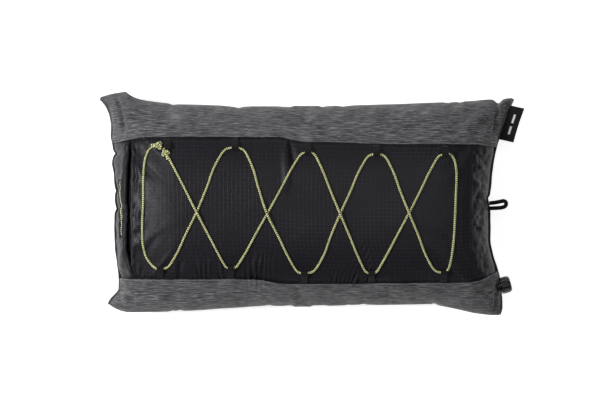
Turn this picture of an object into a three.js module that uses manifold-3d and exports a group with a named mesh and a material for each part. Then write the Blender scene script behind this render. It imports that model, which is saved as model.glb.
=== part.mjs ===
// Self-inflating camp pillow, lying on its sleeping face with the laced back up.
// Millimetres, +X along the pillow towards the valve end, +Y across it, +Z up.
// The origin is the centre of the flat on which the pillow rests.
import * as THREE from 'three';
import { mergeVertices } from 'three/addons/utils/BufferGeometryUtils.js';
import Module from 'manifold-3d';

const wasm = await Module();
wasm.setup();

// ---------------------------------------------------------------- driving dimensions

const WAIST_LENGTH = 447.5; // between the two end seams, halfway across
const WAIST_WIDTH = 240; // between the two long edges, halfway along
const THICKNESS = 100; // crown of the back above the floor
const SEAM_HEIGHT = 44; // the edge seam above the floor

// How far each corner stands out past the waist, along X then along Y.
const EAR = {
  valveUpper: { x: 29, y: 9, power: 2.3 },
  valveLower: { x: 17, y: 11, power: 1.8 },
  flapUpper: { x: 20, y: 16, power: 7 },
  flapLower: { x: 8, y: 8, power: 7 },
};
const BLUNT_EAR = { y: 133.3, slope: 0.26 }; // the upper ear at the flap's end is cut off
const LONG_EDGE_POWER = 4; // how late the long edges flare out to the corners

const END_CROWN_POWER = 6.5; // plateau of the crown along the length
const SIDE_CROWN_POWER = 2.4; // rounder crown across the width
const CROWN_ROUNDING = 0.54;
const REST_SHARE = 0.82; // where the crown passes this share, the underside is flat

const CLOTH = 1.2; // cover fabric with its lining
const SEAM_GAP = 0.6; // between the two sides of the cover along the edge seam
const PANEL_GAP = 0.5; // between neighbouring panels of the back
const BLADDER_DEPTH = 11; // airtight skin below the outer surface
const BLADDER_SKIN = 0.8;
const FOAM_DEPTH = 13;

const COVER_GRID = { along: 24, across: 10 };
const CORE_GRID = { along: 14, across: 8 };

const PANEL_WIDTH = 169; // black panel between the two bands
const PANEL_OFFSET = { flapEnd: -3.3, valveEnd: -9 }; // its centre line along Y
const PANEL_JOG = { from: -30, to: 6 }; // where the centre line steps from one to the other
const SEAM_TURN = 36; // the panel's seams turn inwards over this much of each end
const UPPER_SEAM_TURN = { flapEnd: 6, valveEnd: 4 };
const LOWER_SEAM_TURN = { flapEnd: 1, valveEnd: 13 };

const MOUTH_X = -204; // free edge of the pocket flap
const FLAP_THICKNESS = 5; // flap with the cord tunnel in its hem
const FLAP_CLEARANCE = 1.2; // between flap and panel
const FLAP_SIDE_GAP = 1.2;
const TUNNEL_X = -213.5;
const TUNNEL_RADIUS = 1.9;
const TUNNEL_SLIT = 72; // stretch of the tunnel that is open and shows the cord
const DRAW_CORD_RADIUS = 1.5;

const CORD_RADIUS = 1.65;
const CORD_LIFT = 0.4; // clearance between cord and panel
const TAB_COUNT = 5; // on each side of the panel
const UPPER_TABS = { first: -164, pitch: 83.4 };
const LOWER_TABS = { first: -169, pitch: 84.4 };
const TAB_WIDTH = 8;
const TAB_LENGTH = 13.5; // from the band seam to the middle of the cord
const TAB_WEBBING = 1;
const TAB_CLEARANCE = 0.8; // between tab and panel
const STRAND_EASE = 0.6; // 0 makes straight strands, 1 makes full S curves
const LEFT_BEND = 22; // how far the lacing swings out past its end tabs
const RIGHT_BEND = 13;

const LOOP_LENGTH = 23; // hang loop past the end seam
const LOOP_SPREAD = 7.2; // between the middles of its two arms
const LOOP_RADIUS = 2;
const LOOP_ROOT = 1.3; // from the end seam to the ends of its arms

const LABEL = {
  length: 41, // along the end seam
  reach: 14, // out from the seam to the fold
  thickness: 1.4,
  slit: 0.2, // between its two leaves
  foldWall: 0.5, // cloth between the slit and the fold's inside
  y: 102.5,
  lean: 0.37, // radians, follows the ear's edge
  standOff: 2.1,
};

const VALVE = {
  y: -98,
  lean: 0.28, // radians from +X towards +Y
  footZ: -18, // along the valve from the seam, inside the bladder
  footRadius: 9.2,
  stemRadius: 6.2,
  boreRadius: 4.6,
  collarRadius: 9.4,
  collarZ: 1.2,
  collarThickness: 1.8,
  capRadius: 10,
  capLength: 12.5,
  capBore: 6.7,
  capWall: 2.6,
  mouthRadius: 2.6,
  gripLobes: 10,
  gripDepth: 0.8,
  plugRadius: 4.3,
  plugRim: 0.8,
  plugThickness: 2.5,
  noseRadius: 2.1,
  spokeWidth: 1.3,
  sealRadius: 7,
  sealSection: 0.5,
};

// ---------------------------------------------------------------- materials

const material = (color, roughness, metalness = 0) =>
  new THREE.MeshStandardMaterial({ color, roughness, metalness });

const GREY_FABRIC = material(0x55555a, 0.95);
const BLACK_RIPSTOP = material(0x27252b, 0.5);
const AIR_SKIN = material(0xb9bdc2, 0.6);
const FOAM = material(0xe4dcc2, 0.98);
const LIME_CORD = material(0xbcbf6a, 0.85);
const BLACK_WEBBING = material(0x121214, 0.85);
const BLACK_LABEL = material(0x222224, 0.9);
const BLACK_PLASTIC = material(0x0d0d10, 0.3);
const SEAL_RUBBER = material(0x3a3a3d, 0.7);

// ---------------------------------------------------------------- the pillow's surface

const smooth = (t) => {
  const c = THREE.MathUtils.clamp(t, 0, 1);
  return c * c * (3 - 2 * c);
};

const earAt = (u, v) => {
  if (u > 0) return v > 0 ? EAR.valveUpper : EAR.valveLower;
  return v > 0 ? EAR.flapUpper : EAR.flapLower;
};

const halfLength = (u, v) => {
  const ear = earAt(u, v);
  return WAIST_LENGTH / 2 + ear.x * Math.abs(v) ** ear.power;
};

const halfWidth = (u, v) => {
  return WAIST_WIDTH / 2 + earAt(u, v).y * Math.abs(u) ** LONG_EDGE_POWER;
};

// Where u and v lie in plan, at a depth below the outer surface.
function planPoint(u, v, depth) {
  const x = u * (halfLength(u, v) - depth);
  const y = v * (halfWidth(u, v) - depth);
  const cut = BLUNT_EAR.y + BLUNT_EAR.slope * (x + WAIST_LENGTH / 2) - depth;
  return [x, x < 0 ? Math.min(y, cut) : y];
}

const crown = (u, v) => {
  const along = 1 - Math.min(1, Math.abs(u)) ** END_CROWN_POWER;
  const across = 1 - Math.min(1, Math.abs(v)) ** SIDE_CROWN_POWER;
  return (along * across) ** CROWN_ROUNDING;
};

// A point of the back, and one of the sleeping face, at a depth below the outer surface.
// u and v run from -1 to 1 along the length and across the width.
function backPoint(u, v, depth = 0) {
  const rise = (THICKNESS - SEAM_HEIGHT - depth) * crown(u, v);
  return new THREE.Vector3(...planPoint(u, v, depth), SEAM_HEIGHT + SEAM_GAP / 2 + rise);
}

function facePoint(u, v, depth = 0) {
  const share = Math.min(1, crown(u, v) / REST_SHARE);
  const full = SEAM_HEIGHT - SEAM_GAP / 2 - depth;
  return new THREE.Vector3(...planPoint(u, v, depth), depth + full * (1 - share));
}

// The u and v of a point of the back that lies at x and y.
function surfaceAt(x, y) {
  let u = x / (WAIST_LENGTH / 2);
  let v = y / (WAIST_WIDTH / 2);
  for (let i = 0; i < 12; i++) {
    u = x / halfLength(u, v);
    v = y / halfWidth(u, v);
  }
  return [u, v];
}

// Position and outward direction of the back at x and y.
function backFrame(x, y) {
  const [u, v] = surfaceAt(x, y);
  const step = 1e-3;
  const along = backPoint(u + step, v).sub(backPoint(u - step, v));
  const across = backPoint(u, v + step).sub(backPoint(u, v - step));
  return { at: backPoint(u, v), out: along.cross(across).normalize() };
}

const panelCentre = (x) => {
  const t = smooth((x - PANEL_JOG.from) / (PANEL_JOG.to - PANEL_JOG.from));
  return THREE.MathUtils.lerp(PANEL_OFFSET.flapEnd, PANEL_OFFSET.valveEnd, t);
};

function seamY(side, x) {
  const turn = side > 0 ? UPPER_SEAM_TURN : LOWER_SEAM_TURN;
  const amount = x < 0 ? turn.flapEnd : turn.valveEnd;
  const inwards = amount * smooth((Math.abs(x) - WAIST_LENGTH / 2 + SEAM_TURN) / SEAM_TURN);
  return panelCentre(x) + side * (PANEL_WIDTH / 2 - inwards);
}

// v of a band seam at a given u, moved sideways by a margin in millimetres.
function seamV(side, u, margin) {
  const x = (u * WAIST_LENGTH) / 2;
  return (seamY(side, x) + margin) / halfWidth(u, side);
}

// ---------------------------------------------------------------- mesh helpers

// A closed sheet: a box of ni by nj cells whose unit cube is bent by place(i, j, k).
// i and j run from 0 to 1 over the sheet, and k is 0 on its lower and 1 on its upper skin.
function bentSheet(ni, nj, place) {
  const geometry = new THREE.BoxGeometry(1, 1, 1, ni, nj, 1);
  matchDiagonals(geometry);
  const corners = geometry.attributes.position;
  for (let n = 0; n < corners.count; n++) {
    const p = place(corners.getX(n) + 0.5, corners.getY(n) + 0.5, corners.getZ(n) + 0.5);
    corners.setXYZ(n, p.x, p.y, p.z);
  }
  return finished(geometry);
}

// Gives the box's lower face the same diagonals as its upper one, so that a thin sheet
// stays clear of itself where it is twisted.
function matchDiagonals(box) {
  const { start, count } = box.groups[5];
  const index = box.index.array;
  for (let n = start; n < start + count; n += 6) {
    const [a, b, d, , c] = index.slice(n, n + 6);
    index.set([a, b, c, a, c, d], n);
  }
}

function finished(geometry) {
  geometry.deleteAttribute('normal');
  geometry.deleteAttribute('uv');
  const merged = mergeVertices(geometry, 1e-4);
  merged.computeVertexNormals();
  return merged;
}

// Even steps from 0 to 1 become u or v values from -1 to 1 that crowd towards the edges.
const crowded = (t) => Math.sin((t * 2 - 1) * (Math.PI / 2));

function toSolid(geometry) {
  const plain = geometry.clone();
  plain.deleteAttribute('normal');
  plain.deleteAttribute('uv');
  const merged = mergeVertices(plain, 1e-4);
  const mesh = new wasm.Mesh({
    numProp: 3,
    vertProperties: new Float32Array(merged.attributes.position.array),
    triVerts: new Uint32Array(merged.index.array),
  });
  return new wasm.Manifold(mesh);
}

function toGeometry(solid) {
  const mesh = solid.getMesh();
  const geometry = new THREE.BufferGeometry();
  geometry.setAttribute('position', new THREE.BufferAttribute(mesh.vertProperties, 3));
  geometry.setIndex(new THREE.BufferAttribute(mesh.triVerts, 1));
  geometry.computeVertexNormals();
  return geometry;
}

// The geometry less every cutter, all in the same frame.
function cut(geometry, ...cutters) {
  let solid = toSolid(geometry);
  for (const cutter of cutters) solid = solid.subtract(toSolid(cutter));
  return toGeometry(solid);
}

function tube(curve, radius, steps, sides) {
  const ring = new THREE.EllipseCurve(0, 0, radius, radius).getPoints(sides).slice(0, -1);
  return new THREE.ExtrudeGeometry(new THREE.Shape(ring), { steps, extrudePath: curve });
}

const pillow = new THREE.Group();

function add(parent, name, geometry, surface) {
  const mesh = new THREE.Mesh(geometry, surface.clone());
  mesh.name = name;
  parent.add(mesh);
  return mesh;
}

// ---------------------------------------------------------------- valve frame

const valveAxis = new THREE.Vector3(Math.cos(VALVE.lean), Math.sin(VALVE.lean), 0);
const valveSeat = new THREE.Vector3(halfLength(1, VALVE.y / (WAIST_WIDTH / 2)), VALVE.y, SEAM_HEIGHT);

// A group whose +Z runs out along the valve.
const valveGroup = new THREE.Group();
valveGroup.position.copy(valveSeat);
valveGroup.quaternion.setFromUnitVectors(new THREE.Vector3(0, 0, 1), valveAxis);
pillow.add(valveGroup);
valveGroup.updateMatrix();

// A cylinder on the valve's axis, in the pillow's frame, from one depth to another.
function valveCutter(radius, from, to) {
  const geometry = new THREE.CylinderGeometry(radius, radius, to - from, 24);
  geometry.rotateX(Math.PI / 2);
  geometry.translate(0, 0, (from + to) / 2);
  return geometry.applyMatrix4(valveGroup.matrix);
}

// ---------------------------------------------------------------- cover

const stemHole = valveCutter(VALVE.stemRadius + 0.5, VALVE.footZ - 4, 20);
const footHole = valveCutter(VALVE.footRadius + 0.6, VALVE.footZ - 4, -6);
const footRoom = valveCutter(VALVE.footRadius + 0.6, VALVE.footZ - 4, 5);

// The sleeping face: one sheet from edge seam to edge seam.
function coverFace() {
  const sheet = bentSheet(COVER_GRID.along, COVER_GRID.across, (i, j, k) => {
    return facePoint(crowded(i), crowded(j), CLOTH * k);
  });
  return cut(sheet, stemHole, footHole);
}

// One grey band of the back, from the panel seam to the long edge.
function band(side) {
  return bentSheet(COVER_GRID.along, 4, (i, j, k) => {
    const u = crowded(i);
    const from = seamV(side, u, (side * PANEL_GAP) / 2);
    const t = side > 0 ? j : 1 - j;
    const v = THREE.MathUtils.lerp(from, side, Math.sin((t * Math.PI) / 2));
    return backPoint(u, v, CLOTH * (1 - k));
  });
}

const uOfMouth = MOUTH_X / (WAIST_LENGTH / 2);

// The black panel. At the flap's end it dips and runs on under the flap, where it stops one
// step of the grid short of the end seam.
function backPanel() {
  const steps = COVER_GRID.along - 1;
  return bentSheet(steps, 6, (i, j, k) => {
    const u = crowded((1 + steps * i) / COVER_GRID.along);
    const dip = smooth((uOfMouth + 0.07 - u) / 0.06) * (FLAP_THICKNESS + FLAP_CLEARANCE);
    const low = seamV(-1, u, PANEL_GAP / 2);
    const high = seamV(1, u, -PANEL_GAP / 2);
    return backPoint(u, THREE.MathUtils.lerp(low, high, j), dip + CLOTH * (1 - k));
  });
}

// The flap over the left end, with a cord tunnel in its hem and a slit that shows the cord.
function tunnelCurve(overrun) {
  const from = seamY(-1, TUNNEL_X) - overrun;
  const to = seamY(1, TUNNEL_X) + overrun;
  const points = [];
  for (let n = 0; n <= 8; n++) {
    const y = THREE.MathUtils.lerp(from, to, n / 8);
    const { at, out } = backFrame(TUNNEL_X, y);
    points.push(at.addScaledVector(out, -FLAP_THICKNESS / 2));
  }
  return new THREE.CatmullRomCurve3(points);
}

function pocketFlap() {
  const sheet = bentSheet(4, 10, (i, j, k) => {
    const u = THREE.MathUtils.lerp(-1, uOfMouth, 1 - Math.cos((i * Math.PI) / 2));
    const low = seamV(-1, u, FLAP_SIDE_GAP);
    const high = seamV(1, u, -FLAP_SIDE_GAP);
    return backPoint(u, THREE.MathUtils.lerp(low, high, j), FLAP_THICKNESS * (1 - k));
  });
  const slitWidth = 1.6;
  const slit = new THREE.BoxGeometry(slitWidth, TUNNEL_SLIT, 2 * FLAP_THICKNESS);
  const { at, out } = backFrame(TUNNEL_X, panelCentre(TUNNEL_X));
  slit.translate(0, 0, FLAP_THICKNESS * 0.6);
  slit.applyQuaternion(new THREE.Quaternion().setFromUnitVectors(new THREE.Vector3(0, 0, 1), out));
  slit.translate(at.x, at.y, at.z);
  return cut(sheet, tube(tunnelCurve(8), TUNNEL_RADIUS, 12, 10), slit);
}

add(pillow, 'cover_face', coverFace(), GREY_FABRIC);
add(pillow, 'upper_band', band(1), GREY_FABRIC);
add(pillow, 'lower_band', cut(band(-1), stemHole, footHole), GREY_FABRIC);
add(pillow, 'back_panel', backPanel(), BLACK_RIPSTOP);
add(pillow, 'pocket_flap', pocketFlap(), BLACK_RIPSTOP);
add(pillow, 'draw_cord', tube(tunnelCurve(-4), DRAW_CORD_RADIUS, 12, 6), LIME_CORD);

// ---------------------------------------------------------------- air core

// One welded skin of the bladder: the back skin or the face skin.
function bladderSkin(point, upwards) {
  const sheet = bentSheet(CORE_GRID.along, CORE_GRID.across, (i, j, k) => {
    const inner = upwards ? 1 - k : k;
    return point(crowded(i), crowded(j), BLADDER_DEPTH + BLADDER_SKIN * inner);
  });
  return cut(sheet, footRoom);
}

function foamCore() {
  const sheet = bentSheet(CORE_GRID.along, CORE_GRID.across, (i, j, k) => {
    const side = k > 0.5 ? backPoint : facePoint;
    return side(crowded(i), crowded(j), FOAM_DEPTH);
  });
  return cut(sheet, footRoom);
}

add(pillow, 'bladder_back_skin', bladderSkin(backPoint, true), AIR_SKIN);
add(pillow, 'bladder_face_skin', bladderSkin(facePoint, false), AIR_SKIN);
add(pillow, 'foam_core', foamCore(), FOAM);

// ---------------------------------------------------------------- cord tabs and lacing

const tabX = (row, n) => row.first + row.pitch * n;
const tabCordY = (side, x) => seamY(side, x) - side * TAB_LENGTH;

// A strip of webbing folded round the cord, seen from its side: a stem with an eye.
function tabProfile() {
  const eye = CORD_RADIUS + CORD_LIFT;
  const outer = eye + TAB_WEBBING;
  const stem = 2 * TAB_WEBBING;
  const shape = new THREE.Shape();
  shape.moveTo(0, 0);
  shape.lineTo(TAB_LENGTH, 0);
  shape.absarc(TAB_LENGTH, outer, outer, -Math.PI / 2, Math.PI / 2 + 0.5, false);
  shape.lineTo(TAB_LENGTH - 2 * outer, stem);
  shape.lineTo(0, stem);
  const hole = new THREE.Path();
  hole.absarc(TAB_LENGTH, outer, eye, 0, Math.PI * 2, true);
  shape.holes.push(hole);
  return shape;
}

// Tab geometry: +Y runs from the seam over the panel, +Z away from the panel.
function tabGeometry() {
  const geometry = new THREE.ExtrudeGeometry(tabProfile(), {
    depth: TAB_WIDTH,
    bevelEnabled: false,
    curveSegments: 7,
  });
  geometry.translate(0, 0, -TAB_WIDTH / 2);
  geometry.rotateX(Math.PI / 2);
  geometry.rotateZ(Math.PI / 2);
  return finished(geometry);
}

const TAB_GEOMETRY = tabGeometry();
const TAB_EYE_HEIGHT = CORD_RADIUS + CORD_LIFT + TAB_WEBBING;

// Where a tab sits: +Y runs from the seam towards the middle, +Z away from the panel.
function tabFrame(side, x) {
  const root = backFrame(x, seamY(side, x)).at;
  const tip = backFrame(x, tabCordY(side, x)).at;
  const forward = tip.sub(root).normalize();
  const up = new THREE.Vector3(-side, 0, 0).cross(forward).normalize();
  const right = forward.clone().cross(up);
  root.addScaledVector(up, TAB_CLEARANCE);
  return new THREE.Matrix4().makeBasis(right, forward, up).setPosition(root);
}

function addTab(name, side, x) {
  const group = new THREE.Group();
  group.applyMatrix4(tabFrame(side, x));
  pillow.add(group);
  add(group, name, TAB_GEOMETRY, BLACK_WEBBING);
}

for (let n = 0; n < TAB_COUNT; n++) {
  addTab(`upper_tab_${n + 1}`, 1, tabX(UPPER_TABS, n));
  addTab(`lower_tab_${n + 1}`, -1, tabX(LOWER_TABS, n));
}

// Middle of the cord at x and y, at a height above the back.
function cordPoint(x, y, height) {
  const { at, out } = backFrame(x, y);
  return at.addScaledVector(out, height);
}

const RESTING = CORD_RADIUS + CORD_LIFT;
const IN_TAB = TAB_EYE_HEIGHT + TAB_CLEARANCE;
const CROSSING_RISE = 2 * CORD_RADIUS + 0.9;
const CROSSING_SPREAD = 12;

// Even steps from 0 to 1 that crowd at both ends and in the middle.
const crowdedThrice = (t) => t - (0.8 * Math.sin(4 * Math.PI * t)) / (4 * Math.PI);

// A curve that is swept from each of its points to the next.
class StationCurve extends THREE.CatmullRomCurve3 {
  getPointAt(t, target) {
    return this.getPoint(t, target);
  }

  getTangentAt(t, target) {
    return this.getTangent(t, target);
  }
}

// Points that lead the cord straight through the eye of a tab, towards +X or -X.
function throughTab(side, x, direction) {
  const half = TAB_WIDTH / 2 + 0.7;
  const frame = tabFrame(side, x);
  return [-half, 0, half].map((dx) => {
    return new THREE.Vector3(-side * direction * dx, TAB_LENGTH, TAB_EYE_HEIGHT).applyMatrix4(frame);
  });
}

// A strand over the panel from one point to another. The strand that goes over rises where
// the two strands of a cell cross.
function strand(start, end, over) {
  const span = start.distanceTo(end);
  const points = [];
  const count = 12;
  for (let n = 1; n < count; n++) {
    const t = crowdedThrice(n / count);
    const eased = THREE.MathUtils.lerp(t, smooth(t), STRAND_EASE);
    const x = THREE.MathUtils.lerp(start.x, end.x, t);
    const y = THREE.MathUtils.lerp(start.y, end.y, eased);
    const settle = THREE.MathUtils.lerp(IN_TAB, RESTING, smooth(Math.min(t, 1 - t) * 4));
    const away = ((t - 0.5) * span) / CROSSING_SPREAD;
    points.push(cordPoint(x, y, settle + (over ? CROSSING_RISE * Math.exp(-away * away) : 0)));
  }
  return points;
}

// The bend round an end of the lacing, reaching out along X on its way across.
function endBend(start, end, reach) {
  const squareness = 2 / 2.8;
  const count = 12;
  const points = [];
  for (let n = 1; n < count; n++) {
    const angle = (n / count) * Math.PI;
    const out = Math.sin(angle) ** squareness;
    const across = Math.sign(Math.cos(angle)) * Math.abs(Math.cos(angle)) ** squareness;
    const x = THREE.MathUtils.lerp(start.x, end.x, n / count) + reach * out;
    const y = (start.y + end.y) / 2 + ((start.y - end.y) / 2) * across;
    const settle = THREE.MathUtils.lerp(IN_TAB, RESTING, smooth(Math.min(n, count - n) / 3));
    points.push(cordPoint(x, y, settle));
  }
  return points;
}

// Where each end of the cord is knotted, measured from the loop of the first upper tab.
const KNOTS = { start: { x: -11, y: 2 }, finish: { x: 3, y: -8.5 } };
const KNOT_RING = 2.7;
const KNOT_CORD = 1.45;
const KNOT_CLEARANCE = 6.5;

function knotPlace({ x, y }, shiftX = 0, shiftY = 0) {
  const tab = tabX(UPPER_TABS, 0);
  return cordPoint(tab + x + shiftX, tabCordY(1, tab) + y + shiftY, IN_TAB);
}

// One cord: from its first knot round the flap's end, in a zigzag to the valve's end, round
// that, and back in the other zigzag to its second knot.
function lacingCurve() {
  const last = TAB_COUNT - 1;
  const tab = (side, n) => tabX(side > 0 ? UPPER_TABS : LOWER_TABS, n);
  const start = knotPlace(KNOTS.start, -KNOT_CLEARANCE, -1);
  const finish = knotPlace(KNOTS.finish, KNOT_CLEARANCE * 0.5, -KNOT_CLEARANCE * 0.9);
  const there = [];
  for (let n = 0; n <= last; n++) {
    const side = n % 2 ? 1 : -1;
    there.push(throughTab(side, tab(side, n), 1));
  }
  const back = [];
  for (let n = last; n > 0; n--) {
    const side = n % 2 ? -1 : 1;
    back.push(throughTab(side, tab(side, n), -1));
  }
  const points = [start, ...endBend(start, there[0][0], 8 - LEFT_BEND)];
  there.forEach((pass, n) => {
    if (n) points.push(...strand(there[n - 1][2], pass[0], n % 2 === 1));
    points.push(...pass);
  });
  points.push(...endBend(there[last][2], back[0][0], RIGHT_BEND));
  back.forEach((pass, n) => {
    if (n) points.push(...strand(back[n - 1][2], pass[0], n % 2 === 1));
    points.push(...pass);
  });
  points.push(...strand(back[last - 1][2], finish, false), finish);
  return new StationCurve(points, false, 'centripetal');
}

function addKnot(name, place) {
  const knot = new THREE.TorusKnotGeometry(KNOT_RING, KNOT_CORD, 30, 5, 2, 3);
  const mesh = add(pillow, name, finished(knot), LIME_CORD);
  const centre = knotPlace(place);
  const { out } = backFrame(centre.x, centre.y);
  mesh.position.copy(centre).addScaledVector(out, 0.8);
  mesh.quaternion.setFromUnitVectors(new THREE.Vector3(0, 0, 1), out);
}

const lacing = lacingCurve();
add(pillow, 'shock_cord', tube(lacing, CORD_RADIUS, lacing.points.length - 1, 6), LIME_CORD);
addKnot('cord_knot_left', KNOTS.start);
addKnot('cord_knot_right', KNOTS.finish);

// ---------------------------------------------------------------- hang loop and label

function hangLoop() {
  const startX = WAIST_LENGTH / 2 + LOOP_ROOT;
  const bend = LOOP_SPREAD / 2;
  const tip = WAIST_LENGTH / 2 + LOOP_LENGTH - LOOP_RADIUS - bend;
  const points = [];
  for (const x of [startX, (startX + tip) / 2]) points.push(new THREE.Vector3(x, bend, 0));
  for (let n = 0; n <= 6; n++) {
    const angle = Math.PI / 2 - (n / 6) * Math.PI;
    points.push(new THREE.Vector3(tip + bend * Math.cos(angle), bend * Math.sin(angle), 0));
  }
  for (const x of [(startX + tip) / 2, startX]) points.push(new THREE.Vector3(x, -bend, 0));
  return tube(new THREE.CatmullRomCurve3(points), LOOP_RADIUS, 24, 8);
}

add(pillow, 'hang_loop', hangLoop(), BLACK_WEBBING).position.z = SEAM_HEIGHT;

// A woven strip folded in half and sewn into the end seam: two leaves joined at the fold.
function labelGeometry() {
  const outer = LABEL.thickness / 2;
  const inner = LABEL.slit / 2;
  const fold = LABEL.reach - outer;
  const slitEnd = fold - LABEL.foldWall;
  const shape = new THREE.Shape();
  shape.moveTo(0, outer);
  shape.lineTo(0, inner);
  shape.lineTo(slitEnd, inner);
  shape.lineTo(slitEnd, -inner);
  shape.lineTo(0, -inner);
  shape.lineTo(0, -outer);
  shape.absarc(fold, 0, outer, -Math.PI / 2, Math.PI / 2, false);
  const geometry = new THREE.ExtrudeGeometry(shape, {
    depth: LABEL.length,
    bevelEnabled: false,
    curveSegments: 4,
  });
  geometry.translate(0, 0, -LABEL.length / 2);
  return finished(geometry.rotateX(Math.PI / 2));
}

const labelV = LABEL.y / (WAIST_WIDTH / 2 + EAR.valveUpper.y);
const label = add(pillow, 'side_label', labelGeometry(), BLACK_LABEL);
label.position.set(halfLength(1, labelV) + LABEL.standOff, LABEL.y, SEAM_HEIGHT);
label.rotation.z = -LABEL.lean;

// ---------------------------------------------------------------- twist valve

function lathe(profile, sides) {
  const points = profile.map(([r, z]) => new THREE.Vector2(r, z));
  return finished(new THREE.LatheGeometry(points, sides).rotateX(Math.PI / 2));
}

const CAP_BASE = VALVE.collarZ + VALVE.collarThickness + 0.4;
const CAP_END = CAP_BASE + VALVE.capLength;
const STEM_END = CAP_BASE + VALVE.capLength * 0.65;
const SEAL_Z = CAP_BASE + 3;

// Welded foot inside the bladder, and the tube that leads the air out.
function valveBody() {
  const stemStart = VALVE.footZ + 4;
  return lathe(
    [
      [VALVE.boreRadius, VALVE.footZ],
      [VALVE.footRadius, VALVE.footZ],
      [VALVE.footRadius, VALVE.footZ + 2],
      [VALVE.stemRadius, stemStart],
      [VALVE.stemRadius, STEM_END],
      [VALVE.boreRadius, STEM_END],
      [VALVE.boreRadius, VALVE.footZ],
    ],
    24,
  );
}

function valveCollar() {
  const inner = VALVE.stemRadius + 0.3;
  const top = VALVE.collarZ + VALVE.collarThickness;
  return lathe(
    [
      [inner, VALVE.collarZ],
      [VALVE.collarRadius, VALVE.collarZ],
      [VALVE.collarRadius, top - 0.7],
      [VALVE.collarRadius - 0.7, top],
      [inner, top],
      [inner, VALVE.collarZ],
    ],
    24,
  );
}

// Pressed into the stem: a rim on three spokes, and the nose that shuts the cap's mouth.
function valvePlug() {
  const outline = new THREE.Shape();
  outline.absarc(0, 0, VALVE.plugRadius, 0, Math.PI * 2, false);
  const rim = VALVE.plugRadius - VALVE.plugRim;
  const spokes = 3;
  for (let n = 0; n < spokes; n++) {
    const middle = (n / spokes) * Math.PI * 2;
    const halfSector = Math.PI / spokes;
    const outerTurn = halfSector - VALVE.spokeWidth / 2 / rim;
    const innerTurn = halfSector - VALVE.spokeWidth / 2 / VALVE.noseRadius;
    const opening = new THREE.Path();
    opening.absarc(0, 0, rim, middle - outerTurn, middle + outerTurn, false);
    opening.absarc(0, 0, VALVE.noseRadius, middle + innerTurn, middle - innerTurn, true);
    outline.holes.push(opening);
  }
  const spider = new THREE.ExtrudeGeometry(outline, {
    depth: VALVE.plugThickness,
    bevelEnabled: false,
    curveSegments: 6,
  });
  const spiderZ = STEM_END - 0.5 - VALVE.plugThickness;
  spider.translate(0, 0, spiderZ);
  const nose = lathe(
    [
      [0, spiderZ],
      [VALVE.noseRadius, spiderZ],
      [VALVE.noseRadius, CAP_END - 1.2],
      [VALVE.noseRadius - 0.6, CAP_END - 0.6],
      [0, CAP_END - 0.6],
    ],
    12,
  );
  return toGeometry(toSolid(spider).add(toSolid(nose)));
}

// Grip outline: lobes with shallow grooves between them.
function gripShape(radius) {
  const points = [];
  const samples = VALVE.gripLobes * 4;
  for (let n = 0; n < samples; n++) {
    const angle = (n / samples) * Math.PI * 2;
    const groove = Math.max(0, Math.cos(angle * VALVE.gripLobes)) ** 2;
    const r = radius - VALVE.gripDepth * groove;
    points.push(new THREE.Vector2(r * Math.cos(angle), r * Math.sin(angle)));
  }
  return new THREE.Shape(points);
}

// Open at the stem's end, with a groove for the seal and a mouth in its end wall.
function valveCap() {
  const bevel = { height: 1.6, width: 1.2 };
  const grip = new THREE.ExtrudeGeometry(gripShape(VALVE.capRadius - bevel.width), {
    depth: VALVE.capLength - bevel.height,
    bevelThickness: bevel.height,
    bevelSize: bevel.width,
    bevelSegments: 2,
  });
  grip.translate(0, 0, CAP_BASE);
  const endWall = CAP_END - VALVE.capWall;
  const groove = VALVE.sealRadius + VALVE.sealSection + 0.3;
  const bore = lathe(
    [
      [0, CAP_BASE - 4],
      [VALVE.capBore, CAP_BASE - 4],
      [VALVE.capBore, SEAL_Z - 0.8],
      [groove, SEAL_Z - 0.8],
      [groove, SEAL_Z + 0.8],
      [VALVE.capBore, SEAL_Z + 0.8],
      [VALVE.capBore, endWall],
      [VALVE.mouthRadius, endWall],
      [VALVE.mouthRadius, CAP_END + 2],
      [0, CAP_END + 2],
    ],
    24,
  );
  const below = new THREE.CylinderGeometry(30, 30, 10, 8).rotateX(Math.PI / 2);
  below.translate(0, 0, CAP_BASE - 5);
  return cut(grip, bore, below);
}

function valveSeal() {
  const ring = new THREE.TorusGeometry(VALVE.sealRadius, VALVE.sealSection, 5, 20);
  return finished(ring.translate(0, 0, SEAL_Z));
}

add(valveGroup, 'valve_body', valveBody(), BLACK_PLASTIC);
add(valveGroup, 'valve_collar', valveCollar(), BLACK_PLASTIC);
add(valveGroup, 'valve_plug', valvePlug(), BLACK_PLASTIC);
add(valveGroup, 'valve_cap', valveCap(), BLACK_PLASTIC);
add(valveGroup, 'valve_seal', valveSeal(), SEAL_RUBBER);

export default pillow;
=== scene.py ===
import math

import bpy
import numpy as np
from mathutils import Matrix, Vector
from mathutils.bvhtree import BVHTree


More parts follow.
